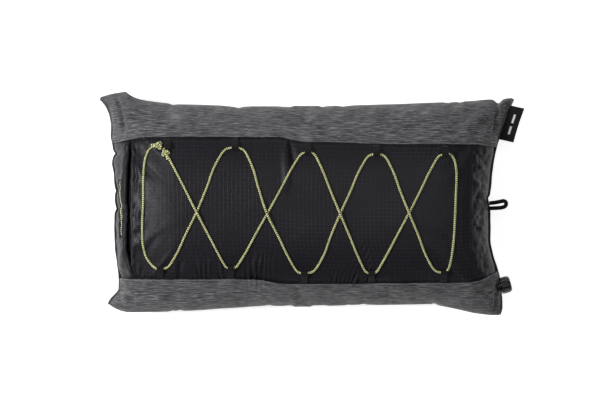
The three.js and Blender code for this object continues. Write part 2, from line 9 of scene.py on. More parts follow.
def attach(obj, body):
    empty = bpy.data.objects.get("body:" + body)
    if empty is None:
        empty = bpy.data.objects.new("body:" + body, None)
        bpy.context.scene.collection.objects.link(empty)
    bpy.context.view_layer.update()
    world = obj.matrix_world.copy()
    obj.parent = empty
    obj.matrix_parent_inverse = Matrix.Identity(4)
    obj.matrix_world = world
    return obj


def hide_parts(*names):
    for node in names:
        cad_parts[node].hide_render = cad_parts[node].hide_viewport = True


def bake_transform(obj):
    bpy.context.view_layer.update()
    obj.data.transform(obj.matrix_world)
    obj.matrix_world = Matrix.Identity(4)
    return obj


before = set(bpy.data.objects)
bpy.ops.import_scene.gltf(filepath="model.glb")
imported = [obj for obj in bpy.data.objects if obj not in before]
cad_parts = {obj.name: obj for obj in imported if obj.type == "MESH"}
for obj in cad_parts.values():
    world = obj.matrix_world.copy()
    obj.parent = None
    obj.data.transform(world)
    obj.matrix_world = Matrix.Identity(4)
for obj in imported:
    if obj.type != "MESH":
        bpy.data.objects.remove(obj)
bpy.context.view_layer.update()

# Camp pillow on its sleeping face, laced back up. Shapes are worked out in millimetres.
MM = 0.001
UV = "cloth"

# Height of the edge seam, the back's rise above it, and how the crown falls off to the edges.
SEAM_Z = 44.0
CROWN = 56.0
END_POWER, SIDE_POWER, ROUNDING = 6.5, 2.4, 0.54
# The sleeping face rests flat where the crown is above this share of its height.
REST_SHARE = 0.82
# Half sizes through the middle, and over the corners.
WAIST_LENGTH, WAIST_WIDTH = 223.75, 120.0
CORNER_LENGTH, CORNER_WIDTH = 236.0, 124.0
# How many millimetres across the pillow one unit of v is, on average.
V_LENGTH = 125.0

# The lacing's radius.
CORD_RADIUS = 1.32
# Most things beside the panel's two seams are looked up by side: 1 is the upper one, -1 the lower.
SIDES = ((1, "upper"), (-1, "lower"))
TAB_X = {1: (-161.0, -80.8, 6.8, 88.4, 170.0), -1: (-169.6, -85.6, 2.0, 82.4, 168.8)}


# ---- numbers and noise

def smooth(t):
    """Goes from 0 to 1 with level ends."""
    t = np.clip(t, 0.0, 1.0)
    return t * t * (3 - 2 * t)


def mix(a, b, t):
    return a + (b - a) * t


def hump(x, centre, width):
    """A bell curve, 1 at its centre."""
    return np.exp(-(((x - centre) / width) ** 2))


def waves(x, y, size, seed):
    """Smooth value noise between -1 and 1, with lumps about size across."""
    table = np.random.default_rng(seed).uniform(-1, 1, (128, 128))
    fx, fy = np.asarray(x) / size + 40, np.asarray(y) / size + 40
    ix, iy = np.floor(fx).astype(int), np.floor(fy).astype(int)
    tx, ty = smooth(fx - ix), smooth(fy - iy)

    def at(a, b):
        return table[(ix + a) % 128, (iy + b) % 128]

    return mix(mix(at(0, 0), at(1, 0), tx), mix(at(0, 1), at(1, 1), tx), ty)


def unit(v):
    return v / np.maximum(np.linalg.norm(v, axis=-1, keepdims=True), 1e-9)


def at_height(plan_points, z):
    """Plan points with their heights added."""
    return np.concatenate([plan_points, z[..., None]], -1)


def run_of(points):
    """The length run at each point of a line."""
    steps = np.linalg.norm(np.diff(points, axis=0), axis=-1)
    return np.concatenate([[0], np.cumsum(steps)])


# ---- inflation

# The flat bag's size in metres, its mesh, and how long it is blown up.
FLAT_LENGTH, FLAT_WIDTH = 0.500, 0.270
SIM_COLUMNS, SIM_ROWS = 100, 56
SIM_FRAMES = 20
CLOTH_SETTINGS = dict(
    quality=6, mass=0.3, air_damping=1, tension_stiffness=40, compression_stiffness=40, shear_stiffness=5,
    bending_stiffness=0.02, tension_damping=5, compression_damping=5, shear_damping=5, use_pressure=True,
    uniform_pressure_force=2.5, use_pressure_volume=False)


def flat_bag():
    """A bag lying flat, its two sides a little apart, and the point numbers of its upper side."""
    verts, faces = [], []
    top = np.zeros((SIM_ROWS + 1, SIM_COLUMNS + 1), int)
    low = np.zeros_like(top)
    for j, i in np.ndindex(top.shape):
        u, v = 2 * i / SIM_COLUMNS - 1, 2 * j / SIM_ROWS - 1
        rim = i in (0, SIM_COLUMNS) or j in (0, SIM_ROWS)
        h = 0.0 if rim else 0.004 * (1 - abs(u) ** 4) * (1 - abs(v) ** 4) + 0.0005
        top[j, i] = low[j, i] = len(verts)
        verts.append((u * FLAT_LENGTH / 2, v * FLAT_WIDTH / 2, h))
        if not rim:
            low[j, i] = len(verts)
            verts.append((u * FLAT_LENGTH / 2, v * FLAT_WIDTH / 2, -h))
    for j, i in np.ndindex(SIM_ROWS, SIM_COLUMNS):
        ring = (j, j, j + 1, j + 1), (i, i + 1, i + 1, i)
        faces.append(top[ring].tolist())
        faces.append(low[ring][[0, 3, 2, 1]].tolist())
    mesh = bpy.data.meshes.new("bag")
    mesh.from_pydata(verts, [], faces)
    return mesh, top


def inflate():
    """Blows up a flat closed bag and returns its upper side as rows x columns x 3, in millimetres."""
    mesh, top = flat_bag()
    bag = bpy.data.objects.new("bag", mesh)
    scene = bpy.context.scene
    scene.collection.objects.link(bag)
    gravity = tuple(scene.gravity)
    scene.gravity = (0, 0, 0)
    cloth = bag.modifiers.new("Cloth", "CLOTH")
    for key, value in CLOTH_SETTINGS.items():
        setattr(cloth.settings, key, value)
    cloth.collision_settings.use_collision = False
    cloth.collision_settings.use_self_collision = False
    cloth.point_cache.frame_start = 1
    cloth.point_cache.frame_end = SIM_FRAMES
    for step in range(1, SIM_FRAMES + 1):
        scene.frame_set(step)
    blown = bag.evaluated_get(bpy.context.evaluated_depsgraph_get()).data
    spots = np.zeros(len(blown.vertices) * 3)
    blown.vertices.foreach_get("co", spots)
    bpy.data.objects.remove(bag)
    bpy.data.meshes.remove(mesh)
    scene.frame_set(1)
    scene.gravity = gravity
    return spots.reshape(-1, 3)[top] / MM


def soften(a, axis, times):
    """Smooths an array along one axis, again and again."""
    n = a.shape[axis]
    pad = [(1, 1) if k == axis else (0, 0) for k in range(a.ndim)]
    for _ in range(times):
        p = np.pad(a, pad, mode="edge")
        a = (p.take(range(0, n), axis) + 2 * a + p.take(range(2, n + 2), axis)) / 4
    return a


def folds_of(bag):
    """The bag less its smooth shape, which is taken along the pillow, and across it near its ends."""
    u = np.abs(np.linspace(-1, 1, SIM_COLUMNS + 1))[None, :, None]
    at_end = smooth((u - 0.82) / 0.14)
    along = bag - soften(bag, 1, 40)
    across = bag - soften(bag, 0, 30)
    return mix(along, across, at_end)


FOLDS = folds_of(inflate())
# How strongly the simulated folds show along X, Y and Z.
FOLD_GAIN = np.array((0.8, 0.8, 1.3))


def sample_folds(u, v):
    """Catmull-Rom lookup of FOLDS at u, v in -1..1."""
    fx = (np.clip(u, -1, 1) + 1) / 2 * SIM_COLUMNS
    fy = (np.clip(v, -1, 1) + 1) / 2 * SIM_ROWS
    ix = np.clip(np.floor(fx).astype(int), 0, SIM_COLUMNS - 1)
    iy = np.clip(np.floor(fy).astype(int), 0, SIM_ROWS - 1)

    def weights(t):
        return ((-t + 2 * t ** 2 - t ** 3) / 2, (2 - 5 * t ** 2 + 3 * t ** 3) / 2,
                (t + 4 * t ** 2 - 3 * t ** 3) / 2, (t ** 3 - t ** 2) / 2)

    wx, wy = weights(fx - ix), weights(fy - iy)
    total = 0
    for b in range(4):
        row = np.clip(iy + b - 1, 0, SIM_ROWS)
        for a in range(4):
            column = np.clip(ix + a - 1, 0, SIM_COLUMNS)
            total = total + FOLDS[row, column] * (wx[a] * wy[b])[..., None]
    corner = smooth((np.abs(u) - 0.72) / 0.2) * smooth((np.abs(v) - 0.6) / 0.3)
    return total * FOLD_GAIN * (1 - corner[..., None] * np.array((0.95, 0.95, 0.5)))


# ---- outline in plan
# u runs along the pillow from -1 at the flap end to 1 at the valve end, v across it from -1 to 1.

# The corners' X on the upper and lower edge, and their Y at the flap's and the valve's end.
UPPER_CORNERS_X, LOWER_CORNERS_X = (-230.7, 253.0), (-218.7, 236.5)
FLAP_CORNERS_Y, VALVE_CORNERS_Y = (-128.2, 124.9), (-131.5, 129.0)
# The bulges of the flap end die out along the pillow with this power of u.
BULGE_POWER = 14


def skewed(t, low, high):
    """Runs from low at -1 through 0 to high at 1."""
    return (high - low) / 2 * t + (high + low) / 2 * t * t


def upper_edge(u):
    y = 118.2 + 1.2 * smooth((u + 0.3) / 0.5)
    y = y + np.where(u < 0, 5.5 * np.abs(u) ** 3, 9.6 * np.abs(u) ** 1.8)
    return np.stack([skewed(u, *UPPER_CORNERS_X), y], -1)


def lower_edge(u):
    flap_corner = 8 * smooth((np.abs(u) - 0.1) / 0.7)
    valve_corner = 12.5 * smooth((np.abs(u) - 0.62) / 0.36)
    y = -120.2 + 1.2 * smooth((u + 0.2) / 0.5)
    y = y - np.where(u < 0, flap_corner, valve_corner)
    y = y - 1.8 * hump(u, 0.07, 0.25)
    return np.stack([skewed(u, *LOWER_CORNERS_X), y], -1)


def flap_end(v):
    x = np.where(v > 0, 7 * np.abs(v) ** 2, -5 * smooth((np.abs(v) - 0.3) / 0.45))
    return np.stack([-223.7 - x, skewed(v, *FLAP_CORNERS_Y)], -1)


def valve_end(v):
    y = skewed(v, *VALVE_CORNERS_Y)
    low = 14.5 * smooth((np.abs(v) - 0.3) / 0.5)
    low = low - 2 * smooth((np.abs(v) - 0.93) / 0.07) - 2.2 * hump(y, -98, 8)
    return np.stack([224 + np.where(v > 0, 29 * np.abs(v) ** 2.15, low), y], -1)


def ear_rise(u):
    """The cut-off ear at the flap end and the nick beside the ear at the valve end."""
    x = skewed(u, *UPPER_CORNERS_X) - 13 * ((1 - u) / 2) ** BULGE_POWER
    out, into = np.maximum(-212 - x, 0), np.maximum(x + 212, 0)
    slope = 6.5 * np.exp(-into / 8) + 7 * np.exp(-into / 45)
    ear = np.where(x < -212, 13.5 - 0.10 * out - 0.0055 * out ** 2, slope)
    return ear - 5.5 * hump(x, 236, 4.5) * (u > 0)


def flap_end_bulge(v):
    """How far the flap end stands out beyond its own curve, and its notch beside the upper seam."""
    y = V_LENGTH * v
    notch = 2.8 * hump(y, 62, 3.4) - 1.8 * hump(y, 50, 7) - 1.2 * hump(y, 82, 7)
    upper = -13 * np.abs(v) ** 14 + notch
    return np.where(v > 0, upper, -13 * smooth((np.abs(v) - 0.8) / 0.19))


def plan(u, v):
    """A point of the outline's patch in X and Y: the four edges blended, then the corners shaped."""
    s, t = (u + 1)[..., None] / 2, (v + 1)[..., None] / 2
    one = np.ones(1)
    corners = {(a, b): (lower_edge if b < 0 else upper_edge)(a * one) for a in (-1, 1) for b in (-1, 1)}
    p = (1 - s) * flap_end(v) + s * valve_end(v) + (1 - t) * lower_edge(u) + t * upper_edge(u)
    p = p - (1 - s) * (1 - t) * corners[-1, -1] - s * (1 - t) * corners[1, -1]
    p = p - (1 - s) * t * corners[-1, 1] - s * t * corners[1, 1]
    x = p[..., 0] + flap_end_bulge(v) * ((1 - u) / 2) ** BULGE_POWER
    y = p[..., 1] + ear_rise(u) * ((1 + v) / 2) ** 9
    y = y + 9 * np.clip((-u - 0.9) / 0.1, 0, 1) ** 2.6 * ((1 - v) / 2) ** 9
    return np.stack([x, y], -1)


# ---- inflated surface

def crown(u, v):
    """Height of the inflated shape, 1 at the middle and 0 at the edge."""
    along = 1 - np.clip(np.abs(u), 0, 1) ** END_POWER
    across = 1 - np.clip(np.abs(v), 0, 1) ** SIDE_POWER
    return (along * across) ** ROUNDING


def back(u, v):
    """The laced side of the cover, before seams and creases."""
    return at_height(plan(u, v), SEAM_Z + CROWN * crown(u, v)) + sample_folds(u, v)


def face(u, v):
    """The sleeping face, which meets the back at the edge and is flat where it rests."""
    share = 1 - np.minimum(1, crown(u, v) / REST_SHARE)
    rim = smooth((np.maximum(np.abs(u), np.abs(v)) - 0.985) / 0.015)[..., None]
    folds = sample_folds(u, v) * mix(np.array((1, 1, -0.6)), 1, rim)
    soft = smooth(share / 0.4)[..., None]
    p = at_height(plan(u, v), SEAM_Z * share) + folds * soft
    p[..., 2] = np.maximum(p[..., 2], 0)
    return p


def outward(surface, u, v, step=2e-3):
    """Unit normals of the back or the face, pointing out of the pillow."""
    u0, u1 = np.clip(u - step, -1, 1), np.clip(u + step, -1, 1)
    v0, v1 = np.clip(v - step, -1, 1), np.clip(v + step, -1, 1)
    n = unit(np.cross(surface(u1, v) - surface(u0, v), surface(u, v1) - surface(u, v0)))
    return n if surface is back else -n


def seam_y(side, x):
    """Where the panel's upper (side 1) or lower (side -1) seam runs."""
    if side > 0:
        y = 81.4 - 5.8 * smooth((x + 30) / 36) - 2.6 * smooth((x - 10) / 110)
        return y - 6 * smooth((-187 - x) / 38) - 2.5 * smooth((x - 200) / 35)
    y = -88.0 - 5.3 * smooth((x + 62) / 44) + 1.0 * hump(x, -86, 9) + 0.9 * smooth((x - 60) / 60)
    return y + 1 * smooth((-187 - x) / 38) + 13 * np.clip((x - 192) / 41, 0, 1) ** 2


def seam_v(side, u):
    v = np.full_like(u, side * 0.68)
    for _ in range(14):
        p = plan(u, v)
        v = v + (seam_y(side, p[..., 0]) - p[..., 1]) / V_LENGTH
    return v


def locate(x, y):
    """The u and v of a point of the back."""
    u, v = x / CORNER_LENGTH, y / CORNER_WIDTH
    for _ in range(16):
        p = plan(u, v)
        u = np.clip(u + (x - p[..., 0]) / CORNER_LENGTH, -1, 1)
        v = np.clip(v + (y - p[..., 1]) / CORNER_WIDTH, -1, 1)
    return u, v


def even_steps(curve, start, end, count):
    """Parameters from start to end that space the points of a curve evenly."""
    t = np.linspace(start, end, 2000)
    run = run_of(curve(t))
    return np.interp(np.linspace(0, run[-1], count), run, t)


# ---- creases and gathers

def crease(x, y, ends, width, depth, reach=0.25):
    """A groove (depth < 0) or ridge along a segment, fading out at both ends."""
    (x0, y0), (x1, y1) = ends
    length = math.hypot(x1 - x0, y1 - y0)
    tx, ty = (x1 - x0) / length, (y1 - y0) / length
    along = (x - x0) * tx + (y - y0) * ty
    across = (x - x0) * ty - (y - y0) * tx
    fade = smooth(along / (length * reach)) * smooth((length - along) / (length * reach))
    return depth * fade * np.exp(-((across / width) ** 2))


# Each group of gathers: middle, half width, pitch, lean, height, reach into the panel.
GATHERS = {
    1: ((-120, 26, 8.5, -0.2, 0.35, 12), (60, 30, 9.0, 0.25, 0.35, 12), (130, 24, 7.0, -0.2, 0.40, 13),
        (-55, 18, 7.0, 0.2, 0.35, 12), (195, 12, 5.0, 0.4, 0.6, 20)),
    -1: ((-109, 19, 6.4, 0.12, 1.7, 20), (-52, 20, 6.0, -0.05, 2.0, 22), (62, 34, 5.4, -0.45, 1.6, 30),
         (140, 22, 7.5, 0.2, 0.5, 14), (-175, 18, 8.0, -0.2, 0.5, 14), (8, 14, 6.5, -0.3, 0.6, 14)),
}
# Creases: the two ends, the width and the depth (below 0) or height.
PANEL_CREASES = (
    (((-16, 80), (-9, 46)), 3.4, -3.4), (((-20, 82), (-18, 10)), 5.0, 2.2),
    (((-146, -64), (-147, -92)), 2.4, -1.6), (((-151, -62), (-152, -92)), 3.0, 1.0),
)
# Creases of the slope at the valve end, by the Y of their inner and outer ends.
VALVE_END_CREASES = ((68, 46), (58, 34), (48, 52), (30, 22), (10, 4), (-20, -34), (-52, -48), (-70, -60))
BAND_CREASES = {
    1: ((((-224, 136), (-212, 82)), 2.4, -5.2), (((-217, 132), (-205, 84)), 4.5, 0.9),
        (((-235, 124), (-222, 86)), 2.6, 2.2), (((237, 124), (227, 74)), 2.4, -2.6),
        (((243, 122), (233, 76)), 2.4, 1.0), (((250, 124), (196, 100)), 6.0, 1.2),
        (((246, 118), (205, 88)), 4.0, -1.2)),
    -1: ((((-213, -90), (-222, -124)), 2.6, -1.8), (((-205, -94), (-214, -124)), 3.4, 1.2),
         (((235, -84), (230, -133)), 2.2, -2.6), (((229, -92), (223, -132)), 3.0, 1.2)),
}


def gathers(groups, x, s, seed):
    """Ruffles beside a seam, at a distance s from it."""
    total = 0.5 * waves(x, s * 0.2, 3.4, seed) * np.exp(-np.abs(s) / 11)
    uneven = 0.55 + 0.9 * waves(x, s * 0.35, 8, seed + 3)
    for middle, half, pitch, lean, height, reach in groups:
        window = np.exp(-(((x - middle) / half) ** 4)) * uneven
        drift = 2.4 * waves(x, s * 0.5, 13, seed + 1) + 1.6 * waves(x, s * 0.3, 5, seed + 2)
        wave = np.cos((x + lean * s - middle) / pitch * 2 * math.pi + drift)
        total = total + height * window * wave * np.exp(-((np.abs(s) / reach) ** 1.5))
    return total


def panel_relief(x, y):
    """Height of the panel's folds over the smooth back."""
    to_upper, to_lower = seam_y(1, x) - y, y - seam_y(-1, x)
    d = 0.75 * waves(x, y, 48, 3) + 0.28 * waves(x, y, 19, 4) + 0.08 * waves(x, y, 7, 5)
    d = d + gathers(GATHERS[-1], x, to_lower, 11) + gathers(GATHERS[1], x, to_upper, 21)
    for line in PANEL_CREASES:
        d = d + crease(x, y, *line)
    # the valve end: a crumpled slope down to the end seam
    clear = smooth((np.minimum(to_upper, to_lower) - 2) / 9)
    end = smooth((x - 200) / 10) * clear
    d = d + end * (1.0 * waves(x * 0.8, y * 0.5, 6, 6) + 0.8 * waves(x, y * 0.7, 3.2, 7))
    for n, (inner_y, outer_y) in enumerate(VALVE_END_CREASES):
        depth = 1.1 if n % 2 else -1.1
        d = d + clear * crease(x, y, ((204, inner_y), (223, outer_y)), 2.0, depth)
    return d + mouth_relief(x, y)


# The X of the flap's free edge at three heights, and the Y of its two sewn ends.
FLAP_UPPER_X, FLAP_MIDDLE_X, FLAP_LOWER_X = -205.2, -209.2, -200.4
FLAP_TOP, FLAP_FOOT = 79.0, -86.5


def flap_edge_x(y):
    upper = mix(FLAP_MIDDLE_X, FLAP_UPPER_X, smooth((y - 20) / 60))
    return np.where(y > 0, upper, mix(FLAP_MIDDLE_X, FLAP_LOWER_X, smooth((-50 - y) / 40)))


def flap_ease(y):
    """1 over the open length of the mouth, 0 where the flap is sewn down at its ends."""
    return smooth((FLAP_TOP - y) / 9) * smooth((y - FLAP_FOOT) / 9)


def mouth_relief(x, y):
    """The dip under the flap's free edge and the hem beside it."""
    ease = flap_ease(y)
    x = x + 0.8 * waves(0 * x, y, 7, 8)
    dip = smooth((-204 - x) / 4) * (1 - smooth((-216 - x) / 7))
    hem = (1.1 + 1.3 * waves(0 * x, y, 5, 9)) * hump(x, -202.3, 1.8) - 0.6 * hump(x, -198.8, 1.0)
    hem = hem + 1.5 * waves(x * 1.1, y * 0.45, 5, 10) * hump(x, -196, 7)
    return ease * (-5.6 * dip + hem)


def band_relief(x, y, side):
    """Height of a grey band's folds over the smooth back."""
    s = side * y - side * seam_y(side, x)
    d = 0.6 * waves(x, y, 40, 31) + 0.2 * waves(x, y, 15, 32)
    d = d + 0.2 * gathers(GATHERS[side], x, s, 41)
    rim = smooth(s / 30)
    d = d + rim * (0.8 * waves(x, y * 0.4, 13, 33) + 0.35 * waves(x, y * 0.4, 6, 34))
    for line in BAND_CREASES[side]:
        d = d + crease(x, y, *line)
    return d


# ---- mesh helpers

class Heap:
    """Collects vertices, faces and face-corner UVs of one piece."""

    def __init__(self):
        self.verts, self.faces, self.uvs = [], [], []

    def add(self, verts, faces, uvs):
        start = len(self.verts)
        self.verts.extend(np.asarray(verts).reshape(-1, 3).tolist())
        self.faces.extend([tuple(n + start for n in f) for f in faces])
        self.uvs.extend(uvs)
        return self


def grid_faces(rows, columns):
    """The point numbers of a grid and the four corners of each of its faces."""
    grid = np.arange(rows * columns).reshape(rows, columns)
    corners = [grid[:-1, :-1], grid[:-1, 1:], grid[1:, 1:], grid[1:, :-1]]
    return grid, np.stack(corners, -1).reshape(-1, 4)


def closed(front, behind, uv, flip=False):
    """A solid between two grids of points, joined all round."""
    rows, columns = front.shape[:2]
    size = rows * columns
    grid, quads = grid_faces(rows, columns)
    ring = np.concatenate([grid[0, :-1], grid[:-1, -1], grid[-1, :0:-1], grid[:0:-1, 0]])
    after = np.roll(ring, -1)
    edge = np.stack([after, ring, ring + size, after + size], -1)
    if flip:
        quads, edge = quads[:, ::-1], edge[:, ::-1]
    faces = np.concatenate([quads, quads[:, ::-1] + size, edge])
    verts = np.concatenate([front.reshape(-1, 3), behind.reshape(-1, 3)])
    uv = np.concatenate([uv.reshape(-1, 2)] * 2)
    return verts, faces.tolist(), uv[faces.reshape(-1)].tolist()


def shell(points, thickness, middle_row=0, flip=False):
    """A cloth of some thickness behind a grid of points, closed all round."""
    normal = unit(np.cross(np.gradient(points, axis=1), np.gradient(points, axis=0)))
    behind = points - normal * (-1 if flip else 1) * thickness
    return closed(points, behind, cloth_uv(points, middle_row), flip)


def cloth_uv(points, middle_row):
    """Lengths along the cloth in millimetres, so that a weave keeps its size."""
    middle = points.shape[1] // 2
    x, y = run_of(points[middle_row]), run_of(points[:, middle])
    x, y = np.meshgrid(x - x[middle], y - y[middle_row])
    return np.stack([x, y], -1)


def sweep(points, up, profile, scale=None, caps=True):
    """A closed profile of (side, up) offsets carried along points."""
    points = np.asarray(points, float)
    count, sides = len(points), len(profile)
    tangent = unit(np.gradient(points, axis=0))
    up = np.broadcast_to(np.asarray(up, float), points.shape)
    side = unit(np.cross(tangent, up))
    over = np.cross(side, tangent)
    profile = np.asarray(profile, float)
    scale = np.ones(count) if scale is None else np.asarray(scale, float)
    rings = (points[:, None] + side[:, None] * profile[None, :, :1] * scale[:, None, None]
             + over[:, None] * profile[None, :, 1:] * scale[:, None, None])
    run, around = run_of(points), run_of(np.vstack([profile, profile[:1]]))
    faces, uvs = [], []
    for i in range(count - 1):
        for k in range(sides):
            n = (k + 1) % sides
            faces.append((i * sides + k, (i + 1) * sides + k, (i + 1) * sides + n, i * sides + n))
            near, far = around[k], around[k + 1]
            uvs += [(run[i], near), (run[i + 1], near), (run[i + 1], far), (run[i], far)]
    if caps:
        faces.append(tuple(range(sides)))
        uvs += [(run[0] + p[1], p[0]) for p in profile]
        faces.append(tuple((count - 1) * sides + k for k in reversed(range(sides))))
        uvs += [(run[-1] + p[1], p[0]) for p in profile[::-1]]
    return rings.reshape(-1, 3), faces, uvs


def circle(radius, sides, flat=1.0):
    turn = np.arange(sides) / sides * 2 * math.pi
    return np.stack([radius * np.cos(turn), radius * flat * np.sin(turn)], -1)


def strip(width, thickness, ribs=0):
    """Outline of a woven strap: rounded edges and, if asked, ribs along its length."""
    half, r = width / 2 - thickness / 2, thickness / 2
    turn = np.linspace(-math.pi / 2, math.pi / 2, 5)
    right = np.stack([half + r * np.cos(turn), r * np.sin(turn)], -1)
    left = np.stack([-half - r * np.cos(turn), -r * np.sin(turn)], -1)
    if not ribs:
        return np.vstack([right, left])
    x = np.linspace(half, -half, 4 * ribs + 1)[1:-1]
    lift = 0.09 * np.cos(np.linspace(0, ribs * 2 * math.pi, 4 * ribs + 1)[1:-1])
    return np.vstack([right, np.stack([x, r + lift], -1), left, np.stack([-x, -r - lift], -1)])


def carried_up(points):
    """A frame that turns as little as possible along a curve in space."""
    points = np.asarray(points, float)
    tangent = unit(np.gradient(points, axis=0))
    first = np.cross(tangent[0], (0.3, 0.2, 0.9))
    ups = [unit(first)]
    for t in tangent[1:]:
        u = ups[-1] - t * np.dot(ups[-1], t)
        ups.append(unit(u))
    return np.array(ups)


def curve_through(points, step):
    """A centripetal Catmull-Rom curve, resampled at an even step."""
    p = np.asarray(points, float)
    p = np.vstack([2 * p[0] - p[1], p, 2 * p[-1] - p[-2]])
    gaps = np.maximum(np.linalg.norm(np.diff(p, axis=0), axis=1), 1e-6) ** 0.5
    knots = np.concatenate([[0], np.cumsum(gaps)])
    out = []
    for n in range(1, len(p) - 2):
        t = np.linspace(knots[n], knots[n + 1], 24, endpoint=False)[:, None]

        def between(a, b, low, high):
            return mix(a, b, (t - knots[low]) / (knots[high] - knots[low]))

        ones = [between(p[k], p[k + 1], k, k + 1) for k in (n - 1, n, n + 1)]
        twos = [between(ones[k], ones[k + 1], n - 1 + k, n + 1 + k) for k in (0, 1)]
        out.append(between(*twos, n, n + 1))
    return resample(np.vstack(out + [p[-2:-1]]), step)


def resample(points, step):
    run = run_of(points)
    count = max(3, int(round(run[-1] / step)) + 1)
    at = np.linspace(0, run[-1], count)
    return np.stack([np.interp(at, run, points[:, k]) for k in range(points.shape[1])], -1)


def put(name, data):
    """A new object in the scene."""
    ob = bpy.data.objects.new(name, data)
    bpy.context.scene.collection.objects.link(ob)
    return ob


def grow(name, heap, surface, body="pillow", stands_for=(), blend=None):
    """Makes the Blender object of a piece and ties it to its body; given a blend, it only bakes the piece's
    placement and leaves it untied.
    """
    verts, faces, uvs = (heap.verts, heap.faces, heap.uvs) if isinstance(heap, Heap) else heap
    mesh = bpy.data.meshes.new(name)
    mesh.from_pydata((np.asarray(verts) * MM).tolist(), [], faces)
    layer = mesh.uv_layers.new(name=UV)
    layer.data.foreach_set("uv", np.asarray(uvs, np.float32).ravel())
    mesh.polygons.foreach_set("use_smooth", np.ones(len(mesh.polygons), bool))
    mesh.materials.append(surface)
    mesh.update()
    ob = put(name, mesh)
    if blend:
        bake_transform(ob)
    else:
        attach(ob, body)
    if stands_for:
        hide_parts(*stands_for)


# ---- materials

class Tree:
    """A node tree, with short names for the nodes used here."""

    def __init__(self, tree):
        self.tree = tree

    def node(self, kind, **inputs):
        n = self.tree.nodes.new(kind)
        for key, value in inputs.items():
            self.plug(value, n, key)
        return n

    def plug(self, value, n, key):
        pin = n.inputs[key if isinstance(key, int) else key.replace("_", " ")]
        if hasattr(value, "is_output"):
            self.tree.links.new(value, pin)
        else:
            pin.default_value = value

    def parts(self, vector):
        return self.node("ShaderNodeSeparateXYZ", Vector=vector).outputs

    def place(self, kind):
        return self.node("ShaderNodeTexCoord").outputs[kind]

    def math(self, kind, a, b=0.5, c=0.5):
        n = self.node("ShaderNodeMath")
        n.operation = kind
        for k, value in enumerate((a, b, c)):
            self.plug(value, n, k)
        return n.outputs[0]

    def add(self, a, b):
        return self.math("ADD", a, b)

    def times(self, a, b):
        return self.math("MULTIPLY", a, b)

    def remap(self, value, low, high, to_low=0.0, to_high=1.0):
        ends = {"From_Min": low, "From_Max": high, "To_Min": to_low, "To_Max": to_high}
        return self.node("ShaderNodeMapRange", Value=value, **ends).outputs[0]


class Surface(Tree):
    """A material built on the Principled shader."""

    def __init__(self, name, roughness, **settings):
        self.material = bpy.data.materials.new(name)
        self.material.use_nodes = True
        super().__init__(self.material.node_tree)
        self.shader = self.tree.nodes["Principled BSDF"]
        for key, value in {"Roughness": roughness, **settings}.items():
            self.plug(value, self.shader, key)

    def cloth(self, sx, sy=None):
        """The cloth's own coordinates, scaled."""
        uv = self.node("ShaderNodeUVMap")
        uv.uv_map = UV
        scale = (sx, sx if sy is None else sy, 1)
        return self.node("ShaderNodeMapping", Vector=uv.outputs[0], Scale=scale).outputs[0]

    def noise(self, vector, scale=1.0, detail=1.0, roughness=0.5):
        grain = {"Scale": scale, "Detail": detail, "Roughness": roughness}
        return self.node("ShaderNodeTexNoise", Vector=vector, **grain).outputs[0]

    def wave(self, vector, scale, direction):
        n = self.node("ShaderNodeTexWave", Vector=vector, Scale=scale)
        n.bands_direction = direction
        return n.outputs[1]

    def ripple(self, value, rate):
        return self.math("SINE", self.times(value, rate))

    def ramp(self, value, *stops):
        """A colour ramp: each stop has its place and its display grey or colour."""
        n = self.node("ShaderNodeValToRGB", Fac=value)
        while len(n.color_ramp.elements) < len(stops):
            n.color_ramp.elements.new(0.5)
        for element, (at, colour) in zip(n.color_ramp.elements, stops):
            element.position = at
            element.color = linear(colour)
        return n.outputs[0]

    def blend(self, factor, a, b):
        n = self.node("ShaderNodeMix")
        n.data_type = "RGBA"
        for k, value in ((0, factor), (6, a), (7, b)):
            self.plug(value, n, k)
        return n.outputs[2]

    def finish(self, colour, height, strength, distance, roughness=None):
        self.plug(colour, self.shader, "Base Color")
        if roughness is not None:
            self.plug(roughness, self.shader, "Roughness")
        n = self.node("ShaderNodeBump", Height=height, Strength=strength, Distance=distance)
        self.plug(n.outputs[0], self.shader, "Normal")
        return self.material


def linear(level):
    """A linear colour from a display grey of 0..255 or a display colour."""
    rgb = (level,) * 3 if np.isscalar(level) else level
    return (*(((c / 255 + 0.055) / 1.055) ** 2.4 if c > 10 else c / 255 / 12.92 for c in rgb), 1)


def heather_fabric():
    """Fine knit whose dark and pale yarns show as streaks along the pillow."""
    m = Surface("heather_fabric", 0.95, Sheen_Weight=0.12, Sheen_Roughness=0.5, Specular_IOR_Level=0.25)
    streaks = m.noise(m.cloth(0.06, 0.95), detail=2.5, roughness=0.6)
    threads = m.noise(m.cloth(0.16, 2.2), detail=2.0, roughness=0.6)
    cloud = m.noise(m.cloth(0.03, 0.05))
    tone = m.add(m.times(streaks, 0.62), m.times(threads, 0.38))
    tone = m.add(tone, m.times(m.math("SUBTRACT", cloud, 0.5), 0.10))
    colour = m.ramp(tone, (0.38, (38, 38, 40)), (0.46, (66, 66, 68)), (0.54, (92, 92, 94)),
                    (0.62, (128, 128, 130)))
    knit = m.times(m.wave(m.cloth(1, 0), 0.17, "X"), m.wave(m.cloth(0, 1), 0.2, "Y"))
    height = m.add(m.times(knit, 0.5), m.times(threads, 0.7))
    return m.finish(colour, height, 0.55, 0.0004)


